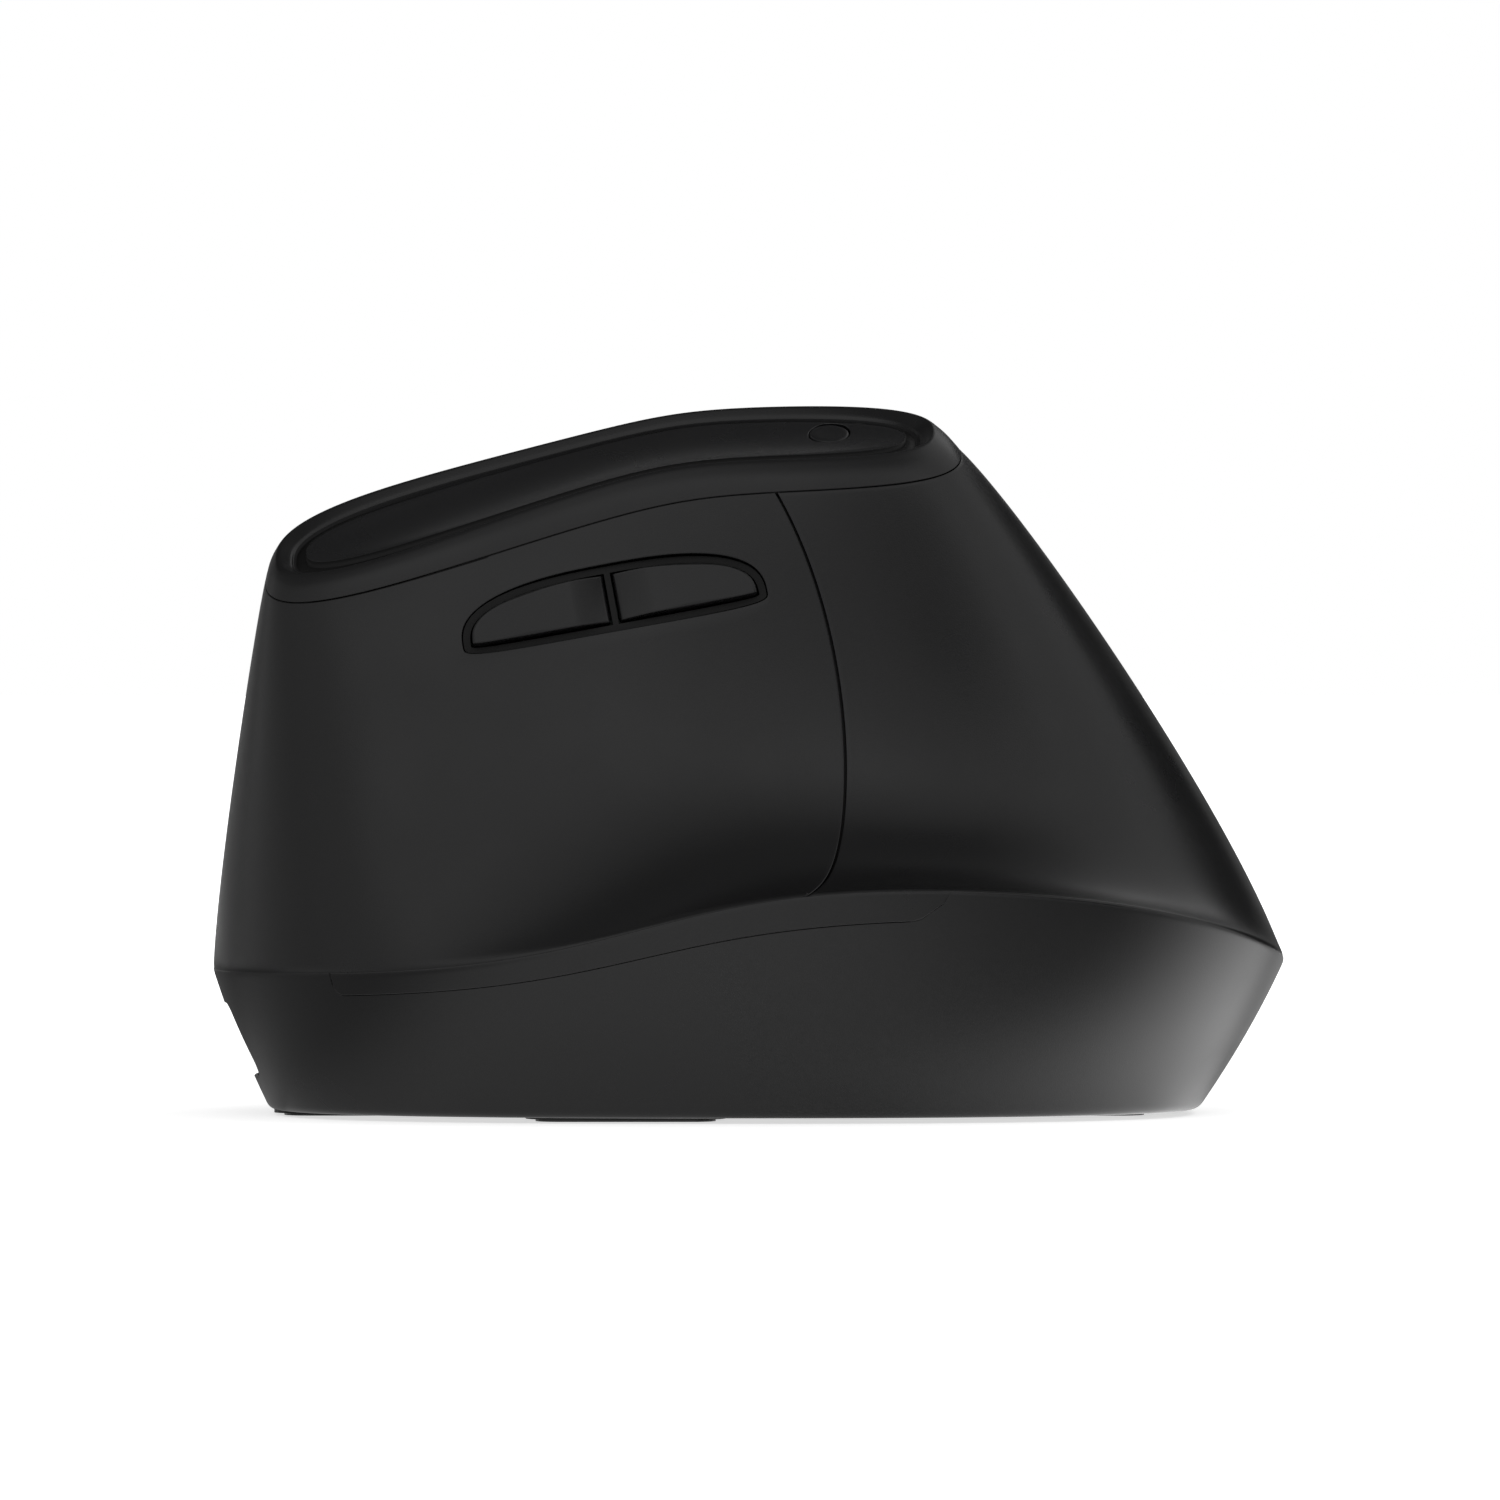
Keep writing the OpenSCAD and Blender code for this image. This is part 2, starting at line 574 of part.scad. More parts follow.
// A main button between two rises, with its hinge lugs and the post over its switch
module main_button(low, high, lugs, spot, shade) {
    ts = function(f, g) let (t = mix(button_rear + turn_of(button_rear, low, button_gap/2),
        button_front - turn_of(button_front, high, button_nose_gap/2), f))
        [t, mix(low + rise_of(t, low, button_gap/2), high - rise_of(t, high - 0.01, button_gap/2), g)];
    x = pin_x(lugs);
    depth = -hinge_depth;
    color(shade) difference() {
        union() {
            skin_panel(ts, 26, 6, false);
            finger_frame() {
                for (p = lugs) {
                    block(about(x, lug_w/2), about(p[1], lug_t/2), [depth, p[2]]);
                    rod(x, depth, p[1] - lug_t/2, p[1] + lug_t/2, lug_w);
                }
                post(spot[0], spot[1], plunger_top + touch_gap, -wall*1.4 - spot[2], 3);
            }
        }
        finger_frame() {
            rod(x, depth, lugs[0][1] - 9, lugs[1][1] + 9, hinge_d + 2*pin_play);
            translate([0, 0, -20]) linear_extrude(40)
                polygon(round_box(wheel_d + 3, wheel_w + 2.4, 2.5));
        }
    }
}
module left_button() {
    main_button(button_mid, 0.995, left_pin, concat(left_at, 0), "#28292c");
}
module right_button() {
    main_button(button_low, button_mid, right_pin, concat(right_at, 0.6), "#28292c");
}

// The ring on top: outer wall, crest, face falling inwards, bevel and a shelf for the dish
module top_rim() {
    turns = [for (i = [0:around - 1]) 360*i/around];
    function ring(in, drop) = [for (t = turns) let (p = crest_xy(t, in)) concat(p, cap_z(p) - drop)];
    seam_low = [for (t = turns) seam(t) + [0, 0, seam_gap]];
    crest = ring(0, 0);
    mid_wall = [for (i = [0:around - 1])
        mix(seam_low[i], crest[i], 0.55) + 0.18*unit(flat(skin_out(turns[i], 0.97)))];
    shelf = dish_drop + dish_t + seat_gap;
    seam_in = [for (t = turns) concat(crest_xy(t, 0.9), seam(t)[2] + seam_gap)];
    color("#2a2b2e") difference() {
        loop_solid([seam_low, mid_wall, ring(0.05, 0.25), ring(0.35, 0), ring(rim_w - 0.7, 0.35),
            ring(rim_w, 0.9), ring(rim_w, shelf), ring(rim_w + 1.4, shelf), ring(rim_w + 1.4, shelf + 1.2),
            seam_in]);
        dpi_frame() {
            post(0, 0, -12, -0.5, dpi_d + 1.2);
            block(about(0, dpi_d/2 + 1.6), about(0, 1.4), [-12, -0.5]);
        }
    }
}

module top_dish() {
    turns = [for (i = [0:around - 1]) 360*i/around];
    in = rim_w + dish_gap;
    function spot(t, f) = mix([crest_x, top_y], crest_xy(t, in), f);
    function ring(f, drop) = [for (t = turns) let (p = spot(t, f)) concat(p, dish_z(p) - drop)];
    color("#17181a") difference() {
        union() {
            dish_solid([for (f = [1, 0.93, 0.8, 0.6, 0.4, 0.2]) ring(f, f == 1 ? 0.15 : 0)],
                [for (f = [1, 0.76, 0.5, 0.2]) [for (t = turns) let (p = spot(t, f))
                    concat(p, cap_z(p) - dish_drop - dish_t - (f > 0.7 ? 0 : dish_sag*(1 - f*f)))]]);
            dpi_frame() for (x = dpi_posts) post(x, 0, dpi_board_top, -0.6, 2.6);
        }
        dpi_frame() {
            post(0, 0, -6, 3, dpi_d + 2*run_gap*0.4);
            for (x = dpi_posts) post(x, 0, dpi_board_top - 1, dpi_board_top + 1.2, 1.2);
        }
    }
}
// Rings from a middle point down over an edge and back to a lower middle point
module dish_solid(over, under) {
    rings = concat([for (k = [len(over) - 1:-1:0]) over[k]], under);
    m = len(rings[0]);
    n = len(rings);
    top_mid = concat([crest_x, top_y], dish_z([crest_x, top_y]));
    polyhedron(concat([for (ring = rings) each ring], [top_mid, top_mid - [0, 0, dish_t]]), [
        for (i = [0:m - 1]) [n*m, (i + 1) % m, i],
        for (r = [0:n - 2]) for (i = [0:m - 1]) let (a = r*m + i, b = r*m + (i + 1) % m)
            each [[a, b, b + m], [a, b + m, a + m]],
        for (i = [0:m - 1]) [n*m + 1, (n - 1)*m + i, (n - 1)*m + (i + 1) % m]]);
}

// Button in the dish and its switch, hung from the dish
dpi_posts = [-5.5, -11];
dpi_flange_z = -2.6;
dpi_stem_z = dpi_flange_z - 1 - press - 0.4;
dpi_switch_top = dpi_stem_z - touch_gap - plunger_h;
dpi_board_top = dpi_switch_top - tact_h;
module dpi_button() {
    color("#1c1d1f") dpi_frame() {
        post(0, 0, dpi_flange_z - 0.5, -0.05, dpi_d);
        block(about(0, dpi_d/2 + 1.2), about(0, 1), [dpi_flange_z - 1, dpi_flange_z]);
        post(0, 0, dpi_stem_z, dpi_flange_z - 0.5, 2);
    }
}
module dpi_board() {
    color("#1d4a35") dpi_frame() difference() {
        translate([-4.5, 0, dpi_board_top - board_t]) linear_extrude(board_t - seat_gap)
            polygon(round_box(17, 8, 1.5));
        for (x = dpi_posts) post(x, 0, dpi_board_top - 3, dpi_board_top + 1, 1.4);
    }
}
// A small push switch on a board and its plunger
module tact(z) {
    difference() {
        block(about(0, tact_w/2), about(0, tact_w/2), [z, z + tact_h]);
        post(0, 0, z + tact_h - 1.2, z + tact_h + 1, 3 + 2*run_gap*0.5);
    }
}
module tact_plunger(z) {
    post(0, 0, z + tact_h - 0.5, z + tact_h + plunger_h, 3);
}
module dpi_switch() {
    color("#3c3f44") dpi_frame() tact(dpi_board_top);
}
module dpi_plunger() {
    color("#c9b27a") dpi_frame() tact_plunger(dpi_board_top);
}

// Frame behind the side window: recessed ring, bar and a flange behind the panel
module side_button_frame() {
    color("#121315") thumb_frame() difference() {
        union() {
            translate([0, 0, flange_z]) linear_extrude(frame_face - flange_z) polygon(window(seam_gap));
            translate([0, 0, flange_z - flange_t]) linear_extrude(flange_t)
                polygon(round_box(side_l + 8, 2*side_up + 2, 3));
            for (x = [-1, 1]) post(x*(side_l/2 + 2), side_mid, side_board_z, flange_z - flange_t + 0.4, 3);
        }
        for (side = [-1, 1]) translate([0, 0, flange_z - 3])
            linear_extrude(frame_face - flange_z + 4) key_outline(side, 0);
        for (x = [-1, 1]) post(x*(side_l/2 + 2), side_mid, side_board_z - 1, side_board_z + 2, 1.2);
    }
}
// One half of the window inside the ring and beside the bar, drawn in by a gap
module key_outline(side, gap) {
    intersection() {
        polygon(window(side_ring + gap));
        translate([side > 0 ? side_bar/2 + gap : -side_l, -side_l])
            square([side_l - side_bar/2 - gap, 2*side_l]);
    }
}
module side_key(side) {
    thumb_frame() {
        difference() {
            translate([0, 0, key_z - key_t]) linear_extrude(side_out - key_z + key_t)
                key_outline(side, run_gap*0.7);
            translate([side*(side_bar/2 + run_gap*0.7), 0, side_out - side_ramp_h])
                rotate([0, -side*atan(side_ramp_h/side_ramp), 0])
                translate([-10, -10, 0]) cube(20);
        }
        block(about(side*key_x, 5), [-4, 4.2], [key_z - key_t, key_z]);
        post(side*key_x, side_mid, stem_z, key_z - key_t + 0.3, 2.6);
    }
}
module forward_button() {
    color("#2b2c2f") side_key(-1);
}
module back_button() {
    color("#2b2c2f") side_key(1);
}
module side_board() {
    color("#1d4a35") thumb_frame() difference() {
        translate([0, 0, side_board_z - board_t]) linear_extrude(board_t - seat_gap)
            translate([0, side_mid]) polygon(round_box(side_l + 8, 8.4, 1.5));
        for (x = [-1, 1]) post(x*(side_l/2 + 2), side_mid, side_board_z - 3, side_board_z + 1, 1.4);
    }
}
module forward_switch() {
    color("#3c3f44") thumb_frame() translate([-key_x, side_mid, 0]) tact(side_board_z);
}
module back_switch() {
    color("#3c3f44") thumb_frame() translate([key_x, side_mid, 0]) tact(side_board_z);
}
module forward_plunger() {
    color("#c9b27a") thumb_frame() translate([-key_x, side_mid, 0]) tact_plunger(side_board_z);
}
module back_plunger() {
    color("#c9b27a") thumb_frame() translate([key_x, side_mid, 0]) tact_plunger(side_board_z);
}

// Scroll wheel, turning about Y of the finger frame
hub_d = wheel_d - 2*tyre_t;
module wheel_tyre() {
    color("#3a3b3e") finger_frame() difference() {
        rod(0, wheel_z, -wheel_w/2, wheel_w/2, wheel_d);
        rod(0, wheel_z, -wheel_w, wheel_w, hub_d);
        for (i = [0:tyre_ribs - 1]) translate([0, 0, wheel_z]) rotate([0, 360*i/tyre_ribs, 0])
            translate([wheel_d/2 + 0.2, -wheel_w/2 + 0.8, 0]) rotate([-90, 0, 0])
            cylinder(d = 1.1, h = wheel_w - 1.6, $fn = 8);
    }
}
module wheel_hub() {
    color("#1d1e20") finger_frame() difference() {
        union() {
            rod(0, wheel_z, -wheel_w/2 + 0.2, wheel_w/2 - 0.2, hub_d);
            rod(0, wheel_z, -wheel_w/2 - 0.6, wheel_w/2 + 0.6, axle_d + 3);
        }
        rod(0, wheel_z, -wheel_w, wheel_w, axle_d);
        for (y = [-wheel_w/2 - 1, wheel_w/2 - 1.4]) difference() {
            rod(0, wheel_z, y, y + 2.4, hub_d - 3);
            rod(0, wheel_z, y - 1, y + 4, axle_d + 3);
        }
    }
}
axle_y = [-arm_y - arm_t - 3.4, arm_y + arm_t];
module wheel_axle() {
    color("#b9bcc0") finger_frame() rod(0, wheel_z, axle_y[0], axle_y[1], axle_d);
}
// Cradle: two arms and a cross bar behind the wheel, with a tab over the middle switch
module wheel_cradle() {
    tab_z = finger_board_z + tact_h + plunger_h + touch_gap;
    color("#33353a") finger_frame() difference() {
        union() {
            for (y = [-arm_y - arm_t, arm_y]) {
                rod(pivot_x, pivot_z, y, y + arm_t, 5);
                rod(0, wheel_z, y, y + arm_t, 6);
                block([pivot_x, 0], [y, y + arm_t], [pivot_z - 2.5, pivot_z + 3]);
            }
            block([pivot_x - 1.5, pivot_x + 2.4], about(0, arm_y + 0.2), [pivot_z - 2.5, pivot_z + 2]);
            block(about(middle_at[0], 2), [arm_y + arm_t - 0.3, middle_at[1] + 2],
                [pivot_z - 2.5, pivot_z - 0.5]);
            post(middle_at[0], middle_at[1], tab_z, pivot_z - 2, 2.6);
        }
        rod(pivot_x, pivot_z, -20, 20, hinge_d + 2*pin_play);
        rod(0, wheel_z, -20, 20, axle_d + 2*pin_play);
    }
}
module wheel_encoder() {
    y = -arm_y - arm_t - seat_gap;
    color("#24518a") finger_frame() difference() {
        block([-4.6, 3.4], [y - 3.6, y], about(wheel_z, 4));
        rod(0, wheel_z, y - 5, y + 1, axle_d + 2*pin_play);
    }
}
module wheel_bracket() {
    color("#2f3135") finger_frame() difference() {
        for (y = [-bracket_y - 2, bracket_y]) {
            rod(pivot_x, pivot_z, y, y + 2, 5);
            block(about(pivot_x, 2.5), [y, y + 2], [finger_board_z + seat_gap, pivot_z]);
            block(about(pivot_x, bracket_half), [y - (y < 0 ? 2 : 0), y + (y < 0 ? 2 : 4)],
                [finger_board_z + seat_gap, finger_board_z + 1.4]);
        }
        rod(pivot_x, pivot_z, -20, 20, hinge_d);
    }
}
module cradle_pin() {
    color("#b9bcc0") finger_frame() rod(pivot_x, pivot_z, -bracket_y - 2.4, bracket_y + 2.4, hinge_d);
}
module button_pins() {
    color("#b9bcc0") finger_frame() for (lugs = [left_pin, right_pin])
        rod(pin_x(lugs), -hinge_depth, lugs[0][1] - 4.4, lugs[1][1] + 4.4, hinge_d);
}

// Ramp inside the body that carries the finger board, the pins and the legs
module inner_frame() {
    low_y = in_finger([legs[0][0], legs[0][1], finger_plane_z(legs[0][0], legs[0][1], -plate_z)])[1] - 3;
    color("#35373b") difference() {
        union() {
            finger_frame() {
                block([plate_rear, 6], [low_y, 5], [plate_z - plate_t, plate_z]);
                block([plate_rear, 3], [low_y, plate_up], [plate_z - plate_t, plate_z]);
                for (p = finger_posts) post(p[0], p[1], plate_z - 1, finger_board_z - board_t, 4.6);
                for (lugs = [left_pin, right_pin]) pin_bracket(lugs);
            }
            for (p = legs) leg(p);
        }
        finger_frame() {
            for (lugs = [left_pin, right_pin])
                rod(pin_x(lugs), -hinge_depth, lugs[0][1] - 8, lugs[1][1] + 8, hinge_d);
            for (p = finger_posts)
                post(p[0], p[1], finger_board_z - board_t - 4, finger_board_z, 1.6 + 2*seat_gap);
            translate([0, 0, plate_z - 5]) linear_extrude(10)
                polygon(round_box(wheel_d + 2, wheel_w + 4, 2));
            translate(concat(plate_window_at, plate_z - 5)) linear_extrude(10)
                polygon(round_box(plate_window_size[0], plate_window_size[1], 3));
        }
        for (p = legs) post(p[0], p[1], 0, boss_z + screw_l, screw_core + 2*seat_gap);
    }
}
module leg(p) {
    difference() {
        post(p[0], p[1], boss_z + seat_gap, finger_plane_z(p[0], p[1], -plate_z) + 6, leg_d);
        finger_frame() {
            translate([-60, -60, plate_z - 0.5]) cube([120, 120, 40]);
            translate([-60, plate_up, -60]) cube([120, 40, 60]);
        }
    }
}
// Two ears for a button's pin on a wall that rises from the ramp
module pin_bracket(lugs) {
    x = pin_x(lugs);
    ear = [lugs[0][1] - lug_t/2 - run_gap - 2, lugs[1][1] + lug_t/2 + run_gap];
    base_z = -hinge_depth - 5;
    for (y = ear) {
        rod(x, -hinge_depth, y, y + 2, 2*ear_half);
        block(about(x, ear_half), [y, y + 2], [base_z - 2, -hinge_depth]);
    }
    block(about(x, ear_half), [ear[0], ear[1] + 2], [base_z - 2, base_z]);
    block(about(x, ear_half), [ear[0], min(ear[0] + 4, plate_up)], [plate_z - 1, base_z]);
}

module finger_board() {
    color("#1d4a35") finger_frame() difference() {
        translate([0, 0, finger_board_z - board_t]) linear_extrude(board_t) difference() {
            translate(finger_board_at) polygon(round_box(finger_board_size[0], finger_board_size[1], 2));
            polygon(round_box(wheel_d + 1, wheel_w + 3.2, 1.5));
        }
        for (p = finger_posts) post(p[0], p[1], finger_board_z - 4, finger_board_z + 1, 2);
        for (lugs = [left_pin, right_pin]) block(about(pin_x(lugs), ear_half + 0.7),
            [lugs[0][1] - 4.5, lugs[1][1] + 6], about(finger_board_z, 4));
    }
}
// A main micro switch lying along X or Y, with its contacts' seam, and its plunger
module micro_switch(at, along_y) {
    turn = along_y ? 90 : 0;
    finger_frame() translate([at[0], at[1], finger_board_z + seat_gap]) rotate(turn) difference() {
        block(about(0, switch_l/2), about(0, switch_w/2), [0, switch_h - seat_gap]);
        post(0, 0, switch_h - 1.5, switch_h + 1, 2.4 + run_gap);
        for (x = [-1, 1]) translate([x*(switch_l/2 - 2.2), -switch_w, switch_h/2 - 1]) rotate([-90, 0, 0])
            cylinder(d = 1.6, h = 2*switch_w);
    }
}
module micro_plunger(at) {
    finger_frame() post(at[0], at[1], switch_top - 0.8, plunger_top, 2.4);
}
module left_switch() {
    color("#1a1a1c") micro_switch(left_at, false);
}
module right_switch() {
    color("#1a1a1c") micro_switch(right_at, true);
}
module left_plunger() {
    color("#c8403a") micro_plunger(left_at);
}
module right_plunger() {
    color("#c8403a") micro_plunger(right_at);
}
module middle_switch() {
    color("#3c3f44") finger_frame() translate(concat(middle_at, seat_gap)) tact(finger_board_z);
}
module middle_plunger() {
    color("#c9b27a") finger_frame() translate(concat(middle_at, 0)) tact_plunger(finger_board_z);
}

module main_board() {
    color("#1d4a35") difference() {
        translate([board_x + board_l/2, 0, board_z + seat_gap]) linear_extrude(board_t - seat_gap)
            polygon(round_box(board_l, board_w, 4));
        for (p = board_posts) post(p[0], p[1], 0, 20, 2);
        for (p = legs) post(p[0], p[1], 0, 20, leg_d + 3);
        post(sensor_x, 0, 0, 20, 5);
    }
}
module sensor_chip() {
    color("#141416") block(about(sensor_x, 5.5), about(0, 4.5), [board_top + seat_gap, board_top + 2.6]);
}
module sensor_lens() {
    color("#aeb6bd") difference() {
        union() {
            block(about(sensor_x, 7), about(0, 6), [floor_z + seat_gap, board_z]);
            post(sensor_x, 0, foot_gap + 0.5, floor_z + 0.5, sensor_d - 2*seam_gap);
        }
        post(sensor_x, 0, 0, foot_gap + 1.2, 4);
    }
}
module usb_c_socket() {
    color("#c3c6ca") translate([pocket_x + 0.2, 0, pocket_z]) rotate([90, 0, 90]) difference() {
        linear_extrude(usb_l) polygon(round_box(usb_w, usb_h, usb_h/2 - 0.05));
        translate([0, 0, -1]) linear_extrude(usb_l - 0.6) difference() {
            polygon(round_box(usb_w - 0.7, usb_h - 0.7, usb_h/2 - 0.4));
            square([6.7, 0.7], center = true);
        }
    }
}
module battery() {
    color("#7d8894") translate([battery_x + battery_l/2, 0, floor_z + seat_gap]) linear_extrude(battery_h)
        polygon(round_box(battery_l, battery_w, 2.5));
}
module power_switch() {
    color("#8f9499") difference() {
        block(about(power_x, 4.5), about(power_y, 1.9), [board_z - 1.6, board_z]);
        block(about(power_x, power_travel/2 + 1.2), about(power_y, 1), [0, board_z - 0.6]);
    }
}
module power_slider() {
    x = power_x - power_travel/2;
    color("#303236") {
        difference() {
            block(about(x, power_l/2), about(power_y, 1.5), [foot_gap + 0.3, floor_z]);
            for (k = [-1:1]) block(about(x + k*1.2, 0.25), about(power_y, 3), [0, foot_gap + 0.7]);
        }
        block(about(x, 0.9), about(power_y, 0.7), [floor_z - 0.2, board_z - 0.9]);
    }
}
// Top of the pairing button, just under the plunger of its switch
pair_top = board_z - 1.6 - touch_gap;
module pairing_switch() {
    color("#3c3f44") difference() {
        block(about(pair_x, 2.2), about(pair_y, 2.2), [board_z - 1, board_z]);
        post(pair_x, pair_y, board_z - 1.5, board_z - 0.3, 2.4);
    }
}
module pairing_plunger() {
    color("#c9b27a") post(pair_x, pair_y, board_z - 1.6, board_z - 0.6 - press*0.3, 2);
}
module pairing_button() {
    color("#303236") {
        post(pair_x, pair_y, foot_gap + 0.3, pair_top, pair_d);
        post(pair_x, pair_y, floor_z + 0.1, pair_top, pair_d + 1.4);
    }
}
module glide_feet() {
    color("#0f0f10") for (f = feet) translate([f[0], f[1], 0]) linear_extrude(foot_t)
        polygon(round_box(f[2], f[3], 2.5));
}
module case_screws() {
    color("#9a9da1") for (p = legs) {
        post(p[0], p[1], foot_gap + 0.15, foot_gap + screw_head_h, screw_head_d);
        post(p[0], p[1], foot_gap + screw_head_h - 0.1, boss_z + screw_l - 1, screw_core);
    }
}
module board_screws() {
    color("#9a9da1") {
        for (p = board_posts) {
            post(p[0], p[1], board_top + seat_gap, board_top + 1.1, 3);
            post(p[0], p[1], floor_z + 0.6, board_top + 0.5, 1.6);
        }
        finger_frame() for (p = finger_posts) {
            post(p[0], p[1], finger_board_z + seat_gap, finger_board_z + 1.1, 3.2);
            post(p[0], p[1], finger_board_z - board_t - 3.8, finger_board_z + 0.5, 1.6);
        }
    }
}

base_shell();
ledge_strip();
thumb_panel();
palm_shell();
finger_panel();
left_button();
right_button();
top_rim();
top_dish();
dpi_button();
side_button_frame();
forward_button();
back_button();
wheel_tyre();
wheel_hub();
wheel_axle();
wheel_cradle();
wheel_encoder();
wheel_bracket();
cradle_pin();
button_pins();
inner_frame();
finger_board();
left_switch();
right_switch();
middle_switch();
left_plunger();
right_plunger();
middle_plunger();
side_board();
forward_switch();
back_switch();
forward_plunger();
back_plunger();
dpi_board();
dpi_switch();
dpi_plunger();
main_board();
sensor_chip();
sensor_lens();
usb_c_socket();
battery();
power_switch();
power_slider();
pairing_switch();
pairing_plunger();
pairing_button();
glide_feet();
case_screws();
board_screws();
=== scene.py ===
"""Looks of a vertical ergonomic mouse: moulded shells, keys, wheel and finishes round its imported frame.

Lengths are in millimetres until a mesh is made. Turn t goes round the body in degrees: 0 heel,
90 finger side, 180 nose, 270 thumb side. Rise s climbs the skin from the ledge (0) to the seam of
the top cap (1).
"""
import json

import bmesh
import bpy
import numpy as np
from mathutils import Matrix, Vector


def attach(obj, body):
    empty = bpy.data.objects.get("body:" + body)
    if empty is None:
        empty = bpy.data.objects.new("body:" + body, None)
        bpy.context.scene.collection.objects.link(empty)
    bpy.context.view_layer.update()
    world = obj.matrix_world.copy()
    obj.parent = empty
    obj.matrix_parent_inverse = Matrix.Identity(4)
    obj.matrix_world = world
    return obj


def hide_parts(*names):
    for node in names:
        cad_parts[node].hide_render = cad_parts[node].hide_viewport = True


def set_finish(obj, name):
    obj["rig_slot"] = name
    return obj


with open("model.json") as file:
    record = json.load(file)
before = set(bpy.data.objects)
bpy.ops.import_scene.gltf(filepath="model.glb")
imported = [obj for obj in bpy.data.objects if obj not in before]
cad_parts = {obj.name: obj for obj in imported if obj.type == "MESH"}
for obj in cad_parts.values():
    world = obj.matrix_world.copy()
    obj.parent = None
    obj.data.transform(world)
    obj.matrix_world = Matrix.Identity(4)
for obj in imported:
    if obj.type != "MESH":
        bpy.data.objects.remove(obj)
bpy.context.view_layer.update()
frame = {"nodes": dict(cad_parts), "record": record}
MM = 0.001

# Body
BODY_L, BODY_W, LEDGE_N = 108, 72, 2.5
LEDGE_H, LEDGE_RISE = 14.7, 10
CLIMB_AT, CLIMB_SOFT, FALL_AT, FALL_SOFT = -11, 9.6, 54, 14.7
FOOT_L, FOOT_W, FOOT_SHIFT, FOOT_GAP, FLARE_FULL = 93.6, 56, 1.5, 0.55, 0.22
SEAM_GAP, GROOVE_W = 0.1, 0.24
GROOVE_T, GROOVE_LEAN, GROOVE_BEND, GROOVE_FOOT = 277, 59.4, 39.9, 18
RIDGE = 0.7
# Rolled edges of the panels, and the lip behind the groove
EDGE_R, EDGE_DEPTH = 0.1, 0.6
LIP_W, LIP_UNDER = 3, 0.05
# How far a panel's own height goes on round the ridge
LIP = 0.1
# Top cap
CREST_H, TOP_L, TOP_W, TOP_X, TOP_Y, TOP_N = 69, 69.8, 19.2, -13.6, -9, 2.5
CREST_IN_L, CREST_IN_W, RIM_H, RIM_W, RIM_THIN = 1.75, 1.1, 3.3, 2.6, 0.75
RIM_END, RIM_LIP, RIM_BELLY = 1.0, 1.4, 0.18
DISH_GAP, DISH_DROP, DISH_SAG, DISH_T = 0.5, 0.6, 0.7, 1.5
NOSE_FALL, NOSE_FALL_X, NOSE_FALL_SOFT = 0.316, 6.1, 7.3
CAP_TILT, CAP_TWIST, CAP_TWIST_X = 0.333, 0.00021, 6
DPI_D, DPI_END, DPI_UP, DPI_GAP = 4, 7.6, 1.7, 0.12
# Skin
PLAIN_LOW, PLAIN_HIGH = np.array([0.03, 0.22]), np.array([0.2, 0.1])
HOLLOW_LOW, HOLLOW_HIGH = np.array([0.78, 0.05]), np.array([0.22, 0.42])
HOLLOW_T, HOLLOW_SPREAD = 288, 46
# Buttons and wheel
BUTTON_REAR, BUTTON_FRONT, BUTTON_LOW, BUTTON_MID, BUTTON_TOP = 80, 170, 0.34, 0.62, 0.995
BUTTON_GAP, BUTTON_EASE, NOSE_GAP = 0.3, 0.4, 1
FINGER_YAW, FINGER_TILT, WHEEL_T = 12, 36.5, 122
WHEEL_D, WHEEL_W, WHEEL_OUT, TYRE_T, TYRE_RIBS, TYRE_GROOVE = 22, 6.6, 3.6, 2.4, 36, 0.45
SLOT_GAP_L, SLOT_GAP_W, SLOT_R = 1.5, 1.2, 2.5
# Columns of a slot's end wall and corner, and the turn over which they fan out
SLOT_WALL, SLOT_CORNER, SLOT_FAN = 6, 13, 6.0
# Side keys
SIDE_L, SIDE_UP, SIDE_DOWN, SIDE_MID, SIDE_SLANT = 30.8, 5.6, 1.3, -1, 10.6
SIDE_RING, SIDE_BAR, SIDE_OUT, SIDE_RAMP, SIDE_RAMP_H = 0.8, 0.6, 0.5, 3.5, 0.9
KEY_GAP, KEY_FOOT, KEY_EDGE, KEY_MIDDLE = 0.21, -5, 0.35, (8.2, 0.9)
SIDE_SPREAD = (30, 24)
THUMB_AT, THUMB_TILT, THUMB_YAW = (267.6, 0.808), 12.8, -1
# Strip under the thumb ledge and pocket for the charging plug
STRIP_FROM, STRIP_TO, STRIP_LOW, STRIP_SWELL, STRIP_GAP = 224, 291, 2.4, 1.1, 0.1
SWELL_T, SWELL_SPREAD = 276, 26
POCKET_W, POCKET_H, POCKET_Z, POCKET_R, POCKET_LEAN = 16, 7.4, 7.6, 1.6, 1.6
POCKET_FROM, POCKET_TO, POCKET_SPREAD = 158.0, 202.0, (16, 6)
WALL_END, BASE_PROUD, FOOT_EDGE = 0.05, 0.05, 0.6


def unit(v):
    """Vectors of length 1."""
    return v / np.linalg.norm(v, axis=-1, keepdims=True)


def mix(a, b, f):
    """Straight mix: a at 0, b at 1."""
    return a + (b - a) * f


def with_z(xy, z):
    """Points from plan and height."""
    return np.concatenate([xy, np.broadcast_to(z, xy.shape[:-1])[..., None]], axis=-1)


def wrap(degrees):
    """The same angle between -180 and 180."""
    return (degrees + 180) % 360 - 180


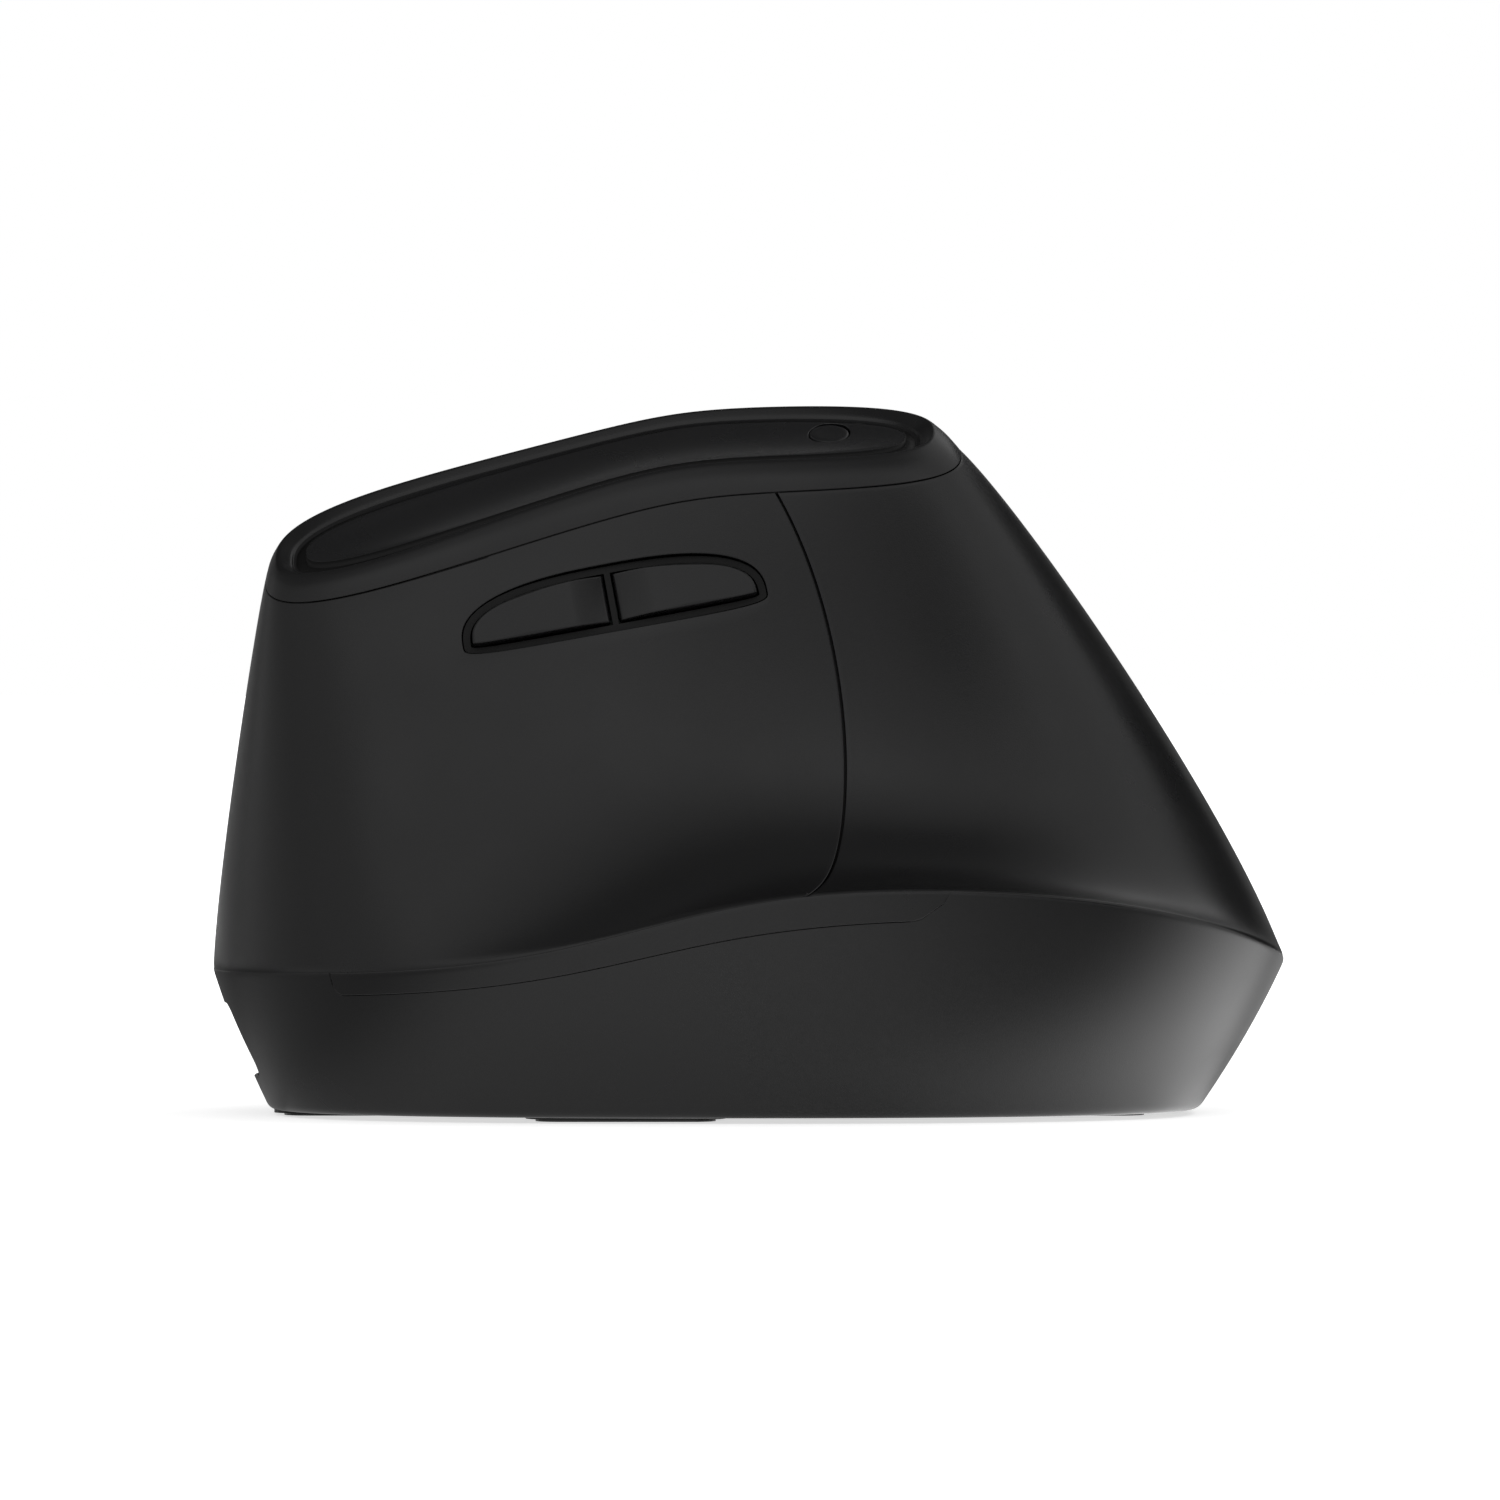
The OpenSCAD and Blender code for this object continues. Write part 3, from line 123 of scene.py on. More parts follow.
def oval(t, centre, half, n):
    """Superellipse: the direction of t over its own n-norm, times the half lengths."""
    way = np.stack([np.cos(np.radians(t)), np.sin(np.radians(t))], axis=-1)
    reach = (np.abs(way) ** n).sum(-1, keepdims=True) ** (-1 / n)
    return np.asarray(centre) + np.asarray(half) * reach * way


def ledge(t):
    """Edge of the ledge: an oval whose height climbs under the thumb between two logistic steps."""
    d = wrap(t - 270)
    climb = 1 / (1 + np.exp(-(d - CLIMB_AT) / CLIMB_SOFT))
    fall = 1 / (1 + np.exp((d - FALL_AT) / FALL_SOFT))
    return with_z(oval(t, (0, 0), (BODY_L / 2, BODY_W / 2), LEDGE_N), LEDGE_H + LEDGE_RISE * climb * fall)


def foot(t, inset=0.0):
    """Outline of the underside."""
    return with_z(oval(t, (-FOOT_SHIFT, 0), (FOOT_L / 2 - inset, FOOT_W / 2 - inset), LEDGE_N), FOOT_GAP)


def crest_xy(t, inset=0.0):
    """Plan of the cap ring's crest, drawn in by a distance."""
    centre = (TOP_X - (CREST_IN_L - CREST_IN_W) * 1.2, TOP_Y)
    half = np.array([TOP_L / 2 - CREST_IN_L, TOP_W / 2 - CREST_IN_W])
    return oval(t, centre, half - inset, TOP_N)


def cap_z(xy):
    """Height of the cap: a soft fall towards the nose, and a tilt to the thumb that grows with distance."""
    x, y = xy[..., 0], xy[..., 1] - TOP_Y
    run = TOP_X + NOSE_FALL_X - x
    fall = NOSE_FALL * (np.sqrt(NOSE_FALL_SOFT**2 + run**2) + run) / 2
    return CREST_H - fall + (CAP_TILT + CAP_TWIST * (x - TOP_X - CAP_TWIST_X) ** 2) * y


def seam(t):
    """Seam between the skin and the cap ring."""
    drop = RIM_H - RIM_THIN * np.cos(np.radians(t)) ** 2
    return with_z(oval(t, (TOP_X, TOP_Y), (TOP_L / 2, TOP_W / 2), TOP_N), cap_z(crest_xy(t)) - drop)


def skin(t, s):
    """Skin of the body: a cubic curve up each turn, whose handles swing over to a hollow for the thumb."""
    t, s = np.broadcast_arrays(np.asarray(t, float), np.asarray(s, float))
    low, high = ledge(t), seam(t)
    rise = high - low
    hollow = np.exp(-((wrap(t - HOLLOW_T) / HOLLOW_SPREAD) ** 2))[..., None]
    a, b = mix(PLAIN_LOW, HOLLOW_LOW, hollow), mix(PLAIN_HIGH, HOLLOW_HIGH, hollow)
    first = low + rise * a[..., [0, 0, 1]]
    second = high - rise * b[..., [0, 0, 1]]
    s = s[..., None]
    r = 1 - s
    return r**3 * low + 3 * r * r * s * first + 3 * r * s * s * second + s**3 * high


def flare(t, u):
    """Flare of the base from the underside (u = 0) to the ledge (u = 1), a little full in the middle."""
    low, high = foot(t), ledge(t)
    u = np.asarray(u)[..., None]
    out = u + FLARE_FULL * u * (1 - u)
    return np.concatenate([mix(low, high, out)[..., :2], mix(low, high, u)[..., 2:]], axis=-1)


def flare_u(t, drop):
    """Share u of the flare at a distance under the ledge."""
    return 1 - 0.1 * drop / np.linalg.norm(ledge(t) - flare(t, np.full_like(t, 0.9)), axis=-1)


def turn_of(t, s, d):
    """A distance round the skin as a change of turn."""
    return d / np.linalg.norm(skin(t + 0.5, s) - skin(t - 0.5, s), axis=-1)


def rise_of(t, s, d):
    """A distance up the skin as a change of rise."""
    return 0.01 * d / np.linalg.norm(skin(t, s + 0.005) - skin(t, s - 0.005), axis=-1)


def ridge_s(t):
    """Rise at which the rounded ridge runs into the skin."""
    return 0.01 * RIDGE / np.linalg.norm(skin(t, 0.01) - skin(t, 0.0), axis=-1)


def ridge(t, b):
    """Rounded ridge: a quadratic curve from the flare (b = 0) round the ledge to the skin (b = 1)."""
    b = np.asarray(b)[..., None]
    start, corner, end = flare(t, flare_u(t, RIDGE)), ledge(t), skin(t, ridge_s(t))
    return (1 - b) ** 2 * start + 2 * b * (1 - b) * corner + b * b * end


def panel_wall(t, h):
    """Outside of the panels: round the ridge while h goes from minus LIP to 0, then up the skin to 1."""
    t, h = np.broadcast_arrays(np.asarray(t, float), np.asarray(h, float))
    around = ridge(t, 1 + np.clip(h, -LIP, 0) / LIP)
    return np.where((h < 0)[..., None], around, skin(t, mix(ridge_s(t), 1, np.maximum(h, 0))))


def under_ridge(t, q):
    """Base wall q millimetres under the top of the ridge: on the ridge's curve first, then on the flare."""
    t, q = np.broadcast_arrays(t, q)
    curve = ridge(t, 0.5 - 0.5 * np.clip(q / RIDGE, 0, 1))
    return np.where((q < RIDGE)[..., None], curve, flare(t, flare_u(t, np.maximum(q, RIDGE))))


def groove_t(h):
    """Turn of the groove between thumb panel and palm shell: a parabola, and straight on round the ridge."""
    return GROOVE_T + np.where(h < 0, GROOVE_FOOT * h, GROOVE_LEAN * h - GROOVE_BEND * h * h)


def beside_groove(h, sign):
    """Turn of a panel's edge at the groove, half its width to one side."""
    return groove_t(h) + sign * turn_of(groove_t(h), np.maximum(h, 0), GROOVE_W / 2)


class Axes:
    """A frame on the body: its origin and its X, Y and Z directions as the columns of a matrix."""

    def __init__(self, origin, *turns):
        self.origin = np.asarray(origin, float)
        turned = Matrix.Identity(3)
        for angle, axis in turns:
            turned = turned @ Matrix.Rotation(np.radians(angle), 3, axis)
        self.way = np.array(turned)

    def local(self, p):
        """Points of the body in this frame."""
        return (p - self.origin) @ self.way

    def world(self, p):
        """Points of this frame in the body."""
        return self.origin + p @ self.way.T


def parameters_under(surface, axes, xy, start):
    """Parameters at which a surface passes under points xy of a frame, by Newton's method on whole arrays."""
    p = np.broadcast_to(np.asarray(start, float), xy.shape).copy()
    step = np.array([0.05, 0.0005])
    for _ in range(25):
        here = axes.local(surface(p[..., 0], p[..., 1]))[..., :2]
        da = (axes.local(surface(p[..., 0] + step[0], p[..., 1]))[..., :2] - here) / step[0]
        db = (axes.local(surface(p[..., 0], p[..., 1] + step[1]))[..., :2] - here) / step[1]
        miss = xy - here
        det = da[..., 0] * db[..., 1] - da[..., 1] * db[..., 0]
        p[..., 0] += (miss[..., 0] * db[..., 1] - miss[..., 1] * db[..., 0]) / det
        p[..., 1] += (da[..., 0] * miss[..., 1] - da[..., 1] * miss[..., 0]) / det
    return p


DISH_HALF = np.array([TOP_L / 2 - CREST_IN_L, TOP_W / 2 - CREST_IN_W]) - RIM_W - DISH_GAP
DISH_MIDDLE = np.array([TOP_X - (CREST_IN_L - CREST_IN_W) * 1.2, TOP_Y])
DPI_AT = DISH_MIDDLE + [DISH_HALF[0] - DPI_END, DPI_UP]


def dish_z(xy):
    """Height of the dish: under the cap by its drop, and by a sag that fades to the edge."""
    edge = np.minimum(1, (((xy - DISH_MIDDLE) / DISH_HALF) ** 2).sum(-1))
    return cap_z(xy) - DISH_DROP - DISH_SAG * (1 - edge)


thumb = Axes(skin(*THUMB_AT), (THUMB_YAW, "Z"), (90 - THUMB_TILT, "X"), (SIDE_SLANT, "Z"))
finger = Axes(skin(WHEEL_T, BUTTON_MID), (180 + FINGER_YAW, "Z"), (90 - FINGER_TILT, "X"))
dpi_slope = np.degrees(np.arctan(dish_z(DPI_AT + [0, 0.5]) - dish_z(DPI_AT - [0, 0.5])))
dpi = Axes(with_z(DPI_AT, dish_z(DPI_AT)), (dpi_slope, "X"))
nose = Axes((0, 0, 0), (90, "Z"), (90, "X"))


def quads(rows, cols, closed):
    """Corner numbers of a grid's faces, with the last column joined to the first where it is closed."""
    r, c = np.meshgrid(np.arange(rows - 1), np.arange(cols if closed else cols - 1), indexing="ij")
    d = (c + 1) % cols
    low, high = r * cols, (r + 1) * cols
    return np.stack([low + c, low + d, high + d, high + c], axis=-1).reshape(-1, 4)


def piece(name, grids, body, slot, replaced=(), thick=0.0, inside=None):
    """One mesh from grids of points, welded where they meet, with its faces turned away from a point inside.

    A grid is (points, closed). A sheet gets its wall from Solidify."""
    points, faces, count = [], [], 0
    for grid, closed in grids:
        points.append(grid.reshape(-1, 3))
        faces.append(quads(*grid.shape[:2], closed) + count)
        count += points[-1].shape[0]
    mesh = bpy.data.meshes.new(name)
    mesh.from_pydata(np.concatenate(points) * MM, [], np.concatenate(faces).tolist())
    shape = bmesh.new()
    shape.from_mesh(mesh)
    bmesh.ops.remove_doubles(shape, verts=shape.verts, dist=0.002 * MM)
    bmesh.ops.dissolve_degenerate(shape, edges=shape.edges, dist=0.0005 * MM)
    if inside is None:
        bmesh.ops.recalc_face_normals(shape, faces=shape.faces)
    else:
        centre = Vector(inside) * MM
        if sum((f.calc_center_median() - centre).dot(f.normal) * f.calc_area() for f in shape.faces) < 0:
            bmesh.ops.reverse_faces(shape, faces=shape.faces)
    shape.to_mesh(mesh)
    shape.free()
    mesh.shade_smooth()
    made = bpy.data.objects.new(name, mesh)
    bpy.context.scene.collection.objects.link(made)
    if thick:
        wall = made.modifiers.new("wall", "SOLIDIFY")
        wall.thickness = thick * MM
        wall.offset = -1
    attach(made, body)
    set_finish(made, slot)
    if replaced:
        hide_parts(*replaced)
    return made


def outward(grid, closed, inside):
    """Normals of a grid of points, turned away from a point inside."""
    across = np.roll(grid, -1, 1) - np.roll(grid, 1, 1) if closed else np.gradient(grid, axis=1)
    n = unit(np.cross(np.gradient(grid, axis=0), across))
    return n * np.sign(((grid - np.asarray(inside)) * n).sum())


def rolled_edge(loop, inward, normal, radius, depth):
    """Rows over a closed edge of a sheet: a quarter circle from the sheet to its wall, then the wall."""
    across = unit(np.cross(normal, np.roll(loop, -1, 0) - np.roll(loop, 1, 0)))
    inward = across * np.sign((across * inward).sum())
    a = np.radians(np.linspace(0, 90, 6))[:, None, None]
    arc = loop + inward * radius * (1 - np.sin(a)) - normal * radius * (1 - np.cos(a))
    return np.concatenate([arc, (loop - normal * depth)[None]])


def edged_ring(grid, inside, radius=EDGE_R, depth=EDGE_DEPTH):
    """A closed grid made a ring-shaped shell: the sheet, both end loops rolled over, and its underside."""
    n = outward(grid, True, inside)
    first = rolled_edge(grid[0], grid[1] - grid[0], n[0], radius, depth)
    last = rolled_edge(grid[-1], grid[-2] - grid[-1], n[-1], radius, depth)
    under = grid - n * depth
    return [(np.concatenate([first[::-1], grid[1:-1], last, under[-2::-1]]), True)]


def edged_sheet(grid, n, radius=EDGE_R, depth=EDGE_DEPTH):
    """A four-sided grid with normals n made a shell: sheet, a strip that rolls its edge over, underside."""
    rows, cols = grid.shape[:2]
    up, along = np.arange(rows), np.arange(cols)
    r = np.concatenate([0 * along[1:], up[:-1], 0 * along[:-1] + rows - 1, up[:0:-1]])
    c = np.concatenate([along[:0:-1], 0 * up[:-1], along[:-1], 0 * up[1:] + cols - 1])
    inward = grid[np.clip(r, 1, rows - 2), np.clip(c, 1, cols - 2)] - grid[r, c]
    strip = rolled_edge(grid[r, c], inward, n[r, c], radius, depth)
    sheet = grid.copy()
    sheet[r, c] = strip[0]
    return [(sheet, False), (strip, True), ((grid - n * depth)[:, ::-1], False)]


def side(start, end, n):
    """Points from start up to, and without, end, as one side of a loop."""
    return mix(np.asarray(start, float), np.asarray(end, float), np.arange(n)[:, None] / n)


def between(inner, outer, rows, power=1.0):
    """Rows of parameters from an inner loop to an outer one, spaced by a power of their share."""
    return mix(inner, outer, (np.linspace(0, 1, rows) ** power)[:, None, None])


BODY_MIDDLE, BASE_MIDDLE, UNDER_CAP = (-6, -4, 34), (0, 0, 10), (TOP_X, TOP_Y, 0)


def window(angle, inset=0.0):
    """Outline of the side window: a superellipse that is squarer below its widest line."""
    up = np.sin(angle) >= 0
    n = np.where(up, 2.6, 4.0)
    reach = (np.abs(np.cos(angle)) ** n + np.abs(np.sin(angle)) ** n) ** (-1 / n)
    wide, high = SIDE_L / 2 - inset, np.where(up, SIDE_UP, SIDE_DOWN) - inset
    return np.stack([wide * reach * np.cos(angle), SIDE_MID + high * reach * np.sin(angle)], axis=-1)


def thumb_panel():
    """Thumb side: rings that spread from the window's outline to the panel's own four sides."""
    n_low, n_side, n_top = 150, 90, 110
    front_t = lambda h: BUTTON_FRONT + turn_of(BUTTON_FRONT, np.maximum(h, 0), NOSE_GAP / 2)
    rear_t = lambda h: beside_groove(h, -1)
    up = np.concatenate([np.linspace(-LIP, 0, 8)[:-1], np.linspace(0, 1, n_side - 6)])
    corners = [(front_t(-LIP), -LIP), (rear_t(-LIP), -LIP), (rear_t(1.0), 1), (front_t(1.0), 1)]
    outer = np.concatenate([
        side(corners[0], corners[1], n_low), np.stack([rear_t(up), up], axis=-1)[:-1],
        side(corners[2], corners[3], n_top), np.stack([front_t(up), up], axis=-1)[:0:-1]])
    seen = thumb.local(panel_wall(outer[:, 0], outer[:, 1]))
    angle = np.unwrap(np.arctan2((seen[:, 1] - SIDE_MID) / SIDE_SPREAD[1], seen[:, 0] / SIDE_SPREAD[0]))
    even = angle[0] + 2 * np.pi * np.arange(angle.size) / angle.size
    inner = parameters_under(skin, thumb, window(mix(angle, even, 0.5)), THUMB_AT)
    low = ridge_s(inner[:, 0])
    inner[:, 1] = (inner[:, 1] - low) / (1 - low)
    spread = between(inner, outer, 32)
    sheet = edged_ring(panel_wall(spread[..., 0], spread[..., 1]), BODY_MIDDLE)
    return piece("thumb_panel_skin", sheet, "casing", "shell", ["thumb_panel"], inside=BODY_MIDDLE)


def upright_panel(name, rear_t, front_t, high, cols, rows, body, slot, node):
    """A shell from under the ridge up to a height, between two edges that are turns for a height."""
    share = np.linspace(0, 1, cols)
    low_t = mix(rear_t(np.array(0.0)), front_t(np.array(0.0)), share)
    climb = np.linspace(0, 1, rows)[:, None] * high(share, low_t)
    h = np.concatenate([np.linspace(-LIP, 0, 9)[:-1, None] + 0 * low_t, climb])
    t = mix(rear_t(h), front_t(h), share)
    wall = panel_wall(t, h)
    sheet = edged_sheet(wall, outward(wall, False, BODY_MIDDLE))
    return piece(name, sheet, body, slot, [node], inside=BODY_MIDDLE)


def palm_shell():
    """Heel and palm, from the groove round to the main buttons."""
    front_t = lambda h: 360 + BUTTON_REAR - turn_of(BUTTON_REAR, np.maximum(h, 0), BUTTON_GAP)
    return upright_panel(
        "palm_shell_skin", lambda h: beside_groove(h, 1), front_t, lambda f, t: np.ones_like(t),
        240, 90, "casing", "shell", "palm_shell")


def groove_lip():
    """Lip behind the groove: a strip of the skin set in under both panels' edges, from ridge to seam."""
    h = np.concatenate([np.linspace(-LIP, 0, 8)[:-1], np.linspace(0, 1, 70)])[:, None]
    t = groove_t(h) + turn_of(groove_t(h), np.maximum(h, 0), 1.0) * np.linspace(-LIP_W / 2, LIP_W / 2, 7)
    sheet = panel_wall(t, h)
    inset = sheet - outward(sheet, False, BODY_MIDDLE) * (EDGE_DEPTH + LIP_UNDER)
    return piece("groove_lip", [(inset, False)], "casing", "side_frame", thick=0.4, inside=BODY_MIDDLE)


def finger_panel():
    """Finger side under the main buttons, with a gap that widens to the nose."""
    return upright_panel(
        "finger_panel_skin", lambda s: BUTTON_REAR + turn_of(BUTTON_REAR, 0.1, SEAM_GAP) + 0 * s,
        lambda s: BUTTON_FRONT - turn_of(BUTTON_FRONT, 0.1, SEAM_GAP) + 0 * s,
        lambda f, t: BUTTON_LOW - rise_of(t, BUTTON_LOW, BUTTON_GAP / 2 + BUTTON_EASE * f * f),
        170, 50, "casing", "shell", "finger_panel")


def skin_normal(t, s):
    """Outward normals of the skin, from its slopes along turn and rise."""
    along = skin(t + 0.2, s) - skin(t - 0.2, s)
    up = skin(t, s + 0.002) - skin(t, s - 0.002)
    return unit(np.cross(along, up))


def wheel_slot(upper):
    """Half the outline of the wheel's slot in the finger frame, from its rear end to its front."""
    half_l, half_w, r = WHEEL_D / 2 + SLOT_GAP_L, WHEEL_W / 2 + SLOT_GAP_W, SLOT_R
    a = np.radians(np.linspace(0, 90, SLOT_CORNER))
    corner = np.stack([half_l - r + r * np.cos(a), half_w - r + r * np.sin(a)], axis=-1)
    rear = corner * [-1, 1]
    straight = side(rear[-1], corner[-1], 30)[1:]
    wall = side((-half_l, 0.25), rear[0], SLOT_WALL)
    line = np.concatenate([wall, rear, straight, corner[::-1], wall[::-1] * [-1, 1]])
    return line if upper else line * [1, -1]


def main_button(name, low, high, upper, body, node):
    """Main button: columns on the skin from its slotted edge to its plain one.

    Half the wheel's slot is cut in, and the columns fan out beside the slot's end walls."""
    split = low if upper else high
    other = high if upper else low
    gap = BUTTON_GAP / 2 * (1 if upper else -1)
    notch = parameters_under(skin, finger, wheel_slot(upper), (WHEEL_T, BUTTON_MID))
    rear = BUTTON_REAR + turn_of(BUTTON_REAR, low, BUTTON_GAP / 2)
    front = BUTTON_FRONT - turn_of(BUTTON_FRONT, high, NOSE_GAP / 2)
    line_s = lambda t: split + rise_of(t, split, gap)
    behind, ahead = np.linspace(rear, notch[0, 0], 50)[:-1], np.linspace(notch[-1, 0], front, 70)[1:]
    slotted = np.concatenate([
        np.stack([behind, line_s(behind)], -1), notch, np.stack([ahead, line_s(ahead)], -1)])
    wall = SLOT_WALL + SLOT_CORNER
    first, last = behind.size, behind.size + notch.shape[0] - 1
    knots = [0, first, first + wall, last - wall, last, slotted.shape[0] - 1]
    fan = [notch[0, 0] - SLOT_FAN, notch[wall, 0], notch[-1 - wall, 0], notch[-1, 0] + SLOT_FAN]
    places = [rear, *fan, front]
    plain_t = np.interp(np.arange(slotted.shape[0]), knots, places)
    plain = np.stack([plain_t, other - rise_of(plain_t, other - 0.01 * (1 if upper else -1), gap)], axis=-1)
    grid = between(slotted, plain, 46, 0.7)
    sheet = edged_sheet(skin(grid[..., 0], grid[..., 1]), skin_normal(grid[..., 0], grid[..., 1]))
    return piece(name, sheet, body, "keys", [node], inside=BODY_MIDDLE)


def strip_drop(t):
    """Lower edge of the strip under the ridge: a low swell, a steep front end and a slanted rear end."""
    share = (t - STRIP_FROM) / (STRIP_TO - STRIP_FROM)
    swell = STRIP_LOW + STRIP_SWELL * np.exp(-(((t - SWELL_T) / SWELL_SPREAD) ** 2))
    front = 0.3 + 0.7 * np.sqrt(1 - (1 - np.clip(share / 0.02, 0, 1)) ** 2)
    rear = np.interp(share, [0.945, 0.96, 0.99, 1], [1, 0.93, 0.45, 0])
    return swell * front * rear


def wall_end(t):
    """Distance under the ridge at which the bottom edge of the base starts to turn in."""
    return (1 - WALL_END) / flare_share(t)


def flare_share(t):
    """Share of the flare for each millimetre under the ledge."""
    return 1 - flare_u(t, 1.0)


def proud(points):
    """Points pushed out level from the body's axis by the base's own stand-off."""
    out = unit(points * [1, 1, 0] - np.array([-FOOT_SHIFT, 0, 0]))
    return points + BASE_PROUD * out


def pocket_outline(grow):
    """Outline of the pocket about its middle: four rounded corners, the thumb side leaning out below."""
    w, h = POCKET_W / 2 + grow, POCKET_H / 2 + grow
    corners = np.array([(-w - POCKET_LEAN, -h), (w, -h), (w, h), (-w, h)])
    line = []
    for k, here in enumerate(corners):
        u, v = unit(corners[k - 1] - here), unit(corners[(k + 1) % 4] - here)
        half = np.arccos(u @ v) / 2
        middle = here + unit(u + v) * POCKET_R / np.sin(half)
        start = here + u * POCKET_R / np.tan(half) - middle
        a = np.arctan2(start[1], start[0]) + (np.pi - 2 * half) * np.linspace(0, 1, 9)
        line.append(middle + POCKET_R * np.stack([np.cos(a), np.sin(a)], axis=-1))
    return np.concatenate(line)


def bottom_edge(t):
    """Bottom edge of the base: a quadratic curve from the wall round the foot's outline to the underside."""
    b = np.linspace(0, 1, 9)[:, None, None]
    wall = flare(t, np.full_like(t, WALL_END))
    return (1 - b) ** 2 * wall + 2 * b * (1 - b) * foot(t) + b * b * foot(t, FOOT_EDGE)


def base_wall():
    """Flared wall of the base: a band from the ridge to the underside, and rings round the pocket."""
    rows = 46
    share = (np.linspace(0, 1, rows) ** 2)[:, None]
    left, right = POCKET_FROM, POCKET_TO
    ends = [np.linspace(e - 2, e + 4, 60) for e in (STRIP_FROM, STRIP_TO - 3)]
    t = np.unique(np.concatenate([np.linspace(right, left + 360, 640), *ends]))
    inside_strip = (t > STRIP_FROM) & (t < STRIP_TO)
    top = np.where(inside_strip, strip_drop(t) + STRIP_GAP, 0)
    band = under_ridge(t[None, :], mix(top, wall_end(t), share))
    low_t = np.linspace(left, right, 90)
    outer = np.concatenate([
        np.stack([low_t, wall_end(low_t)], -1)[:-1],
        np.stack([np.full(rows, right), mix(0, wall_end(np.array(right)), share[::-1, 0])], -1)[:-1],
        np.stack([low_t[::-1], np.zeros(90)], -1)[:-1],
        np.stack([np.full(rows, left), mix(0, wall_end(np.array(left)), share[:, 0])], -1)[:-1]])
    seen = nose.local(under_ridge(outer[:, 0], outer[:, 1]))
    angle = np.arctan2((seen[:, 1] - POCKET_Z) / POCKET_SPREAD[1], seen[:, 0] / POCKET_SPREAD[0])
    edge = pocket_outline(0.04)
    edge_angle = np.unwrap(np.arctan2(edge[:, 1] / POCKET_SPREAD[1], edge[:, 0] / POCKET_SPREAD[0]))
    hole = np.stack([np.interp(angle, edge_angle, edge[:, k], period=2 * np.pi) for k in (0, 1)], axis=-1)
    hole[:, 1] += POCKET_Z
    inner = parameters_under(under_ridge, nose, hole, (180, 7))
    spread = between(inner, outer, 30)
    around = under_ridge(spread[..., 0], spread[..., 1])
    grids = [(band, False), (around, True), (bottom_edge(t), False), (bottom_edge(low_t), False)]
    return piece("base_wall_skin", [(proud(g), c) for g, c in grids], "casing", "base", thick=0.5,
                 inside=BASE_MIDDLE)


def ledge_strip():
    """Strip let in under the thumb ledge, from the ridge down to its own lower edge."""
    t = np.unique(np.concatenate([np.linspace(STRIP_FROM + 0.12, STRIP_TO - 0.12, 300),
                                  np.linspace(STRIP_FROM + 0.12, STRIP_FROM + 3, 60),
                                  np.linspace(STRIP_TO - 6, STRIP_TO - 0.12, 60)]))
    q = mix(0, strip_drop(t), np.linspace(0, 1, 24)[:, None])
    return piece("ledge_strip_skin", [(proud(under_ridge(t[None, :], q)), False)], "casing", "strip",
                 ["ledge_strip"], thick=1.0, inside=BASE_MIDDLE)


def rounded(rings, reach):
    """Rings of a closed section, each corner eased by a quadratic curve from a share along its sides."""
    b = np.linspace(0, 1, 6)[:, None, None]
    eased = []
    for k, ring in enumerate(rings):
        start = mix(ring, rings[k - 1], reach[k])
        end = mix(ring, rings[(k + 1) % len(rings)], reach[k])
        eased.append((1 - b) ** 2 * start + 2 * b * (1 - b) * ring + b * b * end)
    grid = np.concatenate(eased)
    return np.concatenate([grid, grid[:1]])


def top_rim():
    """Cap ring: an eased section of wall, crest, steep inner face and shelf, carried round the cap's oval.

    The inner face is wider at the ring's two ends, and a lip reaches down behind the seam."""
    t = np.linspace(0, 360, 361)[:-1]
    wide = 1 + RIM_END * np.cos(np.radians(t))[:, None] ** 4
    at = lambda inset, drop: with_z(crest_xy(t, inset), cap_z(crest_xy(t, inset)) - drop)
    foot_ring = seam(t) + [0, 0, 0.06]
    lip_z = foot_ring[:, 2] - RIM_LIP
    out = unit(with_z(oval(t, (0, 0), (1, 1), 2), 0))
    belly = mix(foot_ring, at(0, 0), 0.55) + RIM_BELLY * out
    rings = [foot_ring, belly, at(0.02, 0.1), at(0.4, 0), at(0.8 * wide, 0.68), at(0.92 * wide, 1.1),
             at(RIM_W, 1.3), at(RIM_W + 1.3, 2.35), at(RIM_W + 1.3, 3),
             with_z(crest_xy(t, 0.6), lip_z), with_z(crest_xy(t), lip_z),
             with_z(crest_xy(t), foot_ring[:, 2])]
    reach = [0.06, 0.45, 0.3, 0.3, 0.3, 0.2, 0.05, 0.1, 0.1, 0.05, 0.05, 0.02]
    return piece("top_rim_ring", [(rounded(rings, reach), True)], "casing", "rim", ["top_rim"])


def dish_shade_liner():
    """Dark ring round the dish, painted shade for the shadow in its groove: a flat ring between shelf and
    dish, turned up against the dish's wall.
    """
    t = np.linspace(0, 360, 361)[:-1]
    edge = RIM_W + DISH_GAP
    corners = [(RIM_W - 0.9, 1.16), (edge - 0.08, 1.2), (edge - 0.04, DISH_DROP - 0.02)]
    rows = [with_z(crest_xy(t, inset), cap_z(crest_xy(t, inset)) - drop)
            for inset, drop in eased_profile(corners, (0.05,))]
    # The ring's dark finish is painted shade in the groove round the dish.
    return piece("dish_painted_shade_ring", [(np.stack(rows), True)], "casing", "side_frame", thick=0.1, inside=UNDER_CAP)


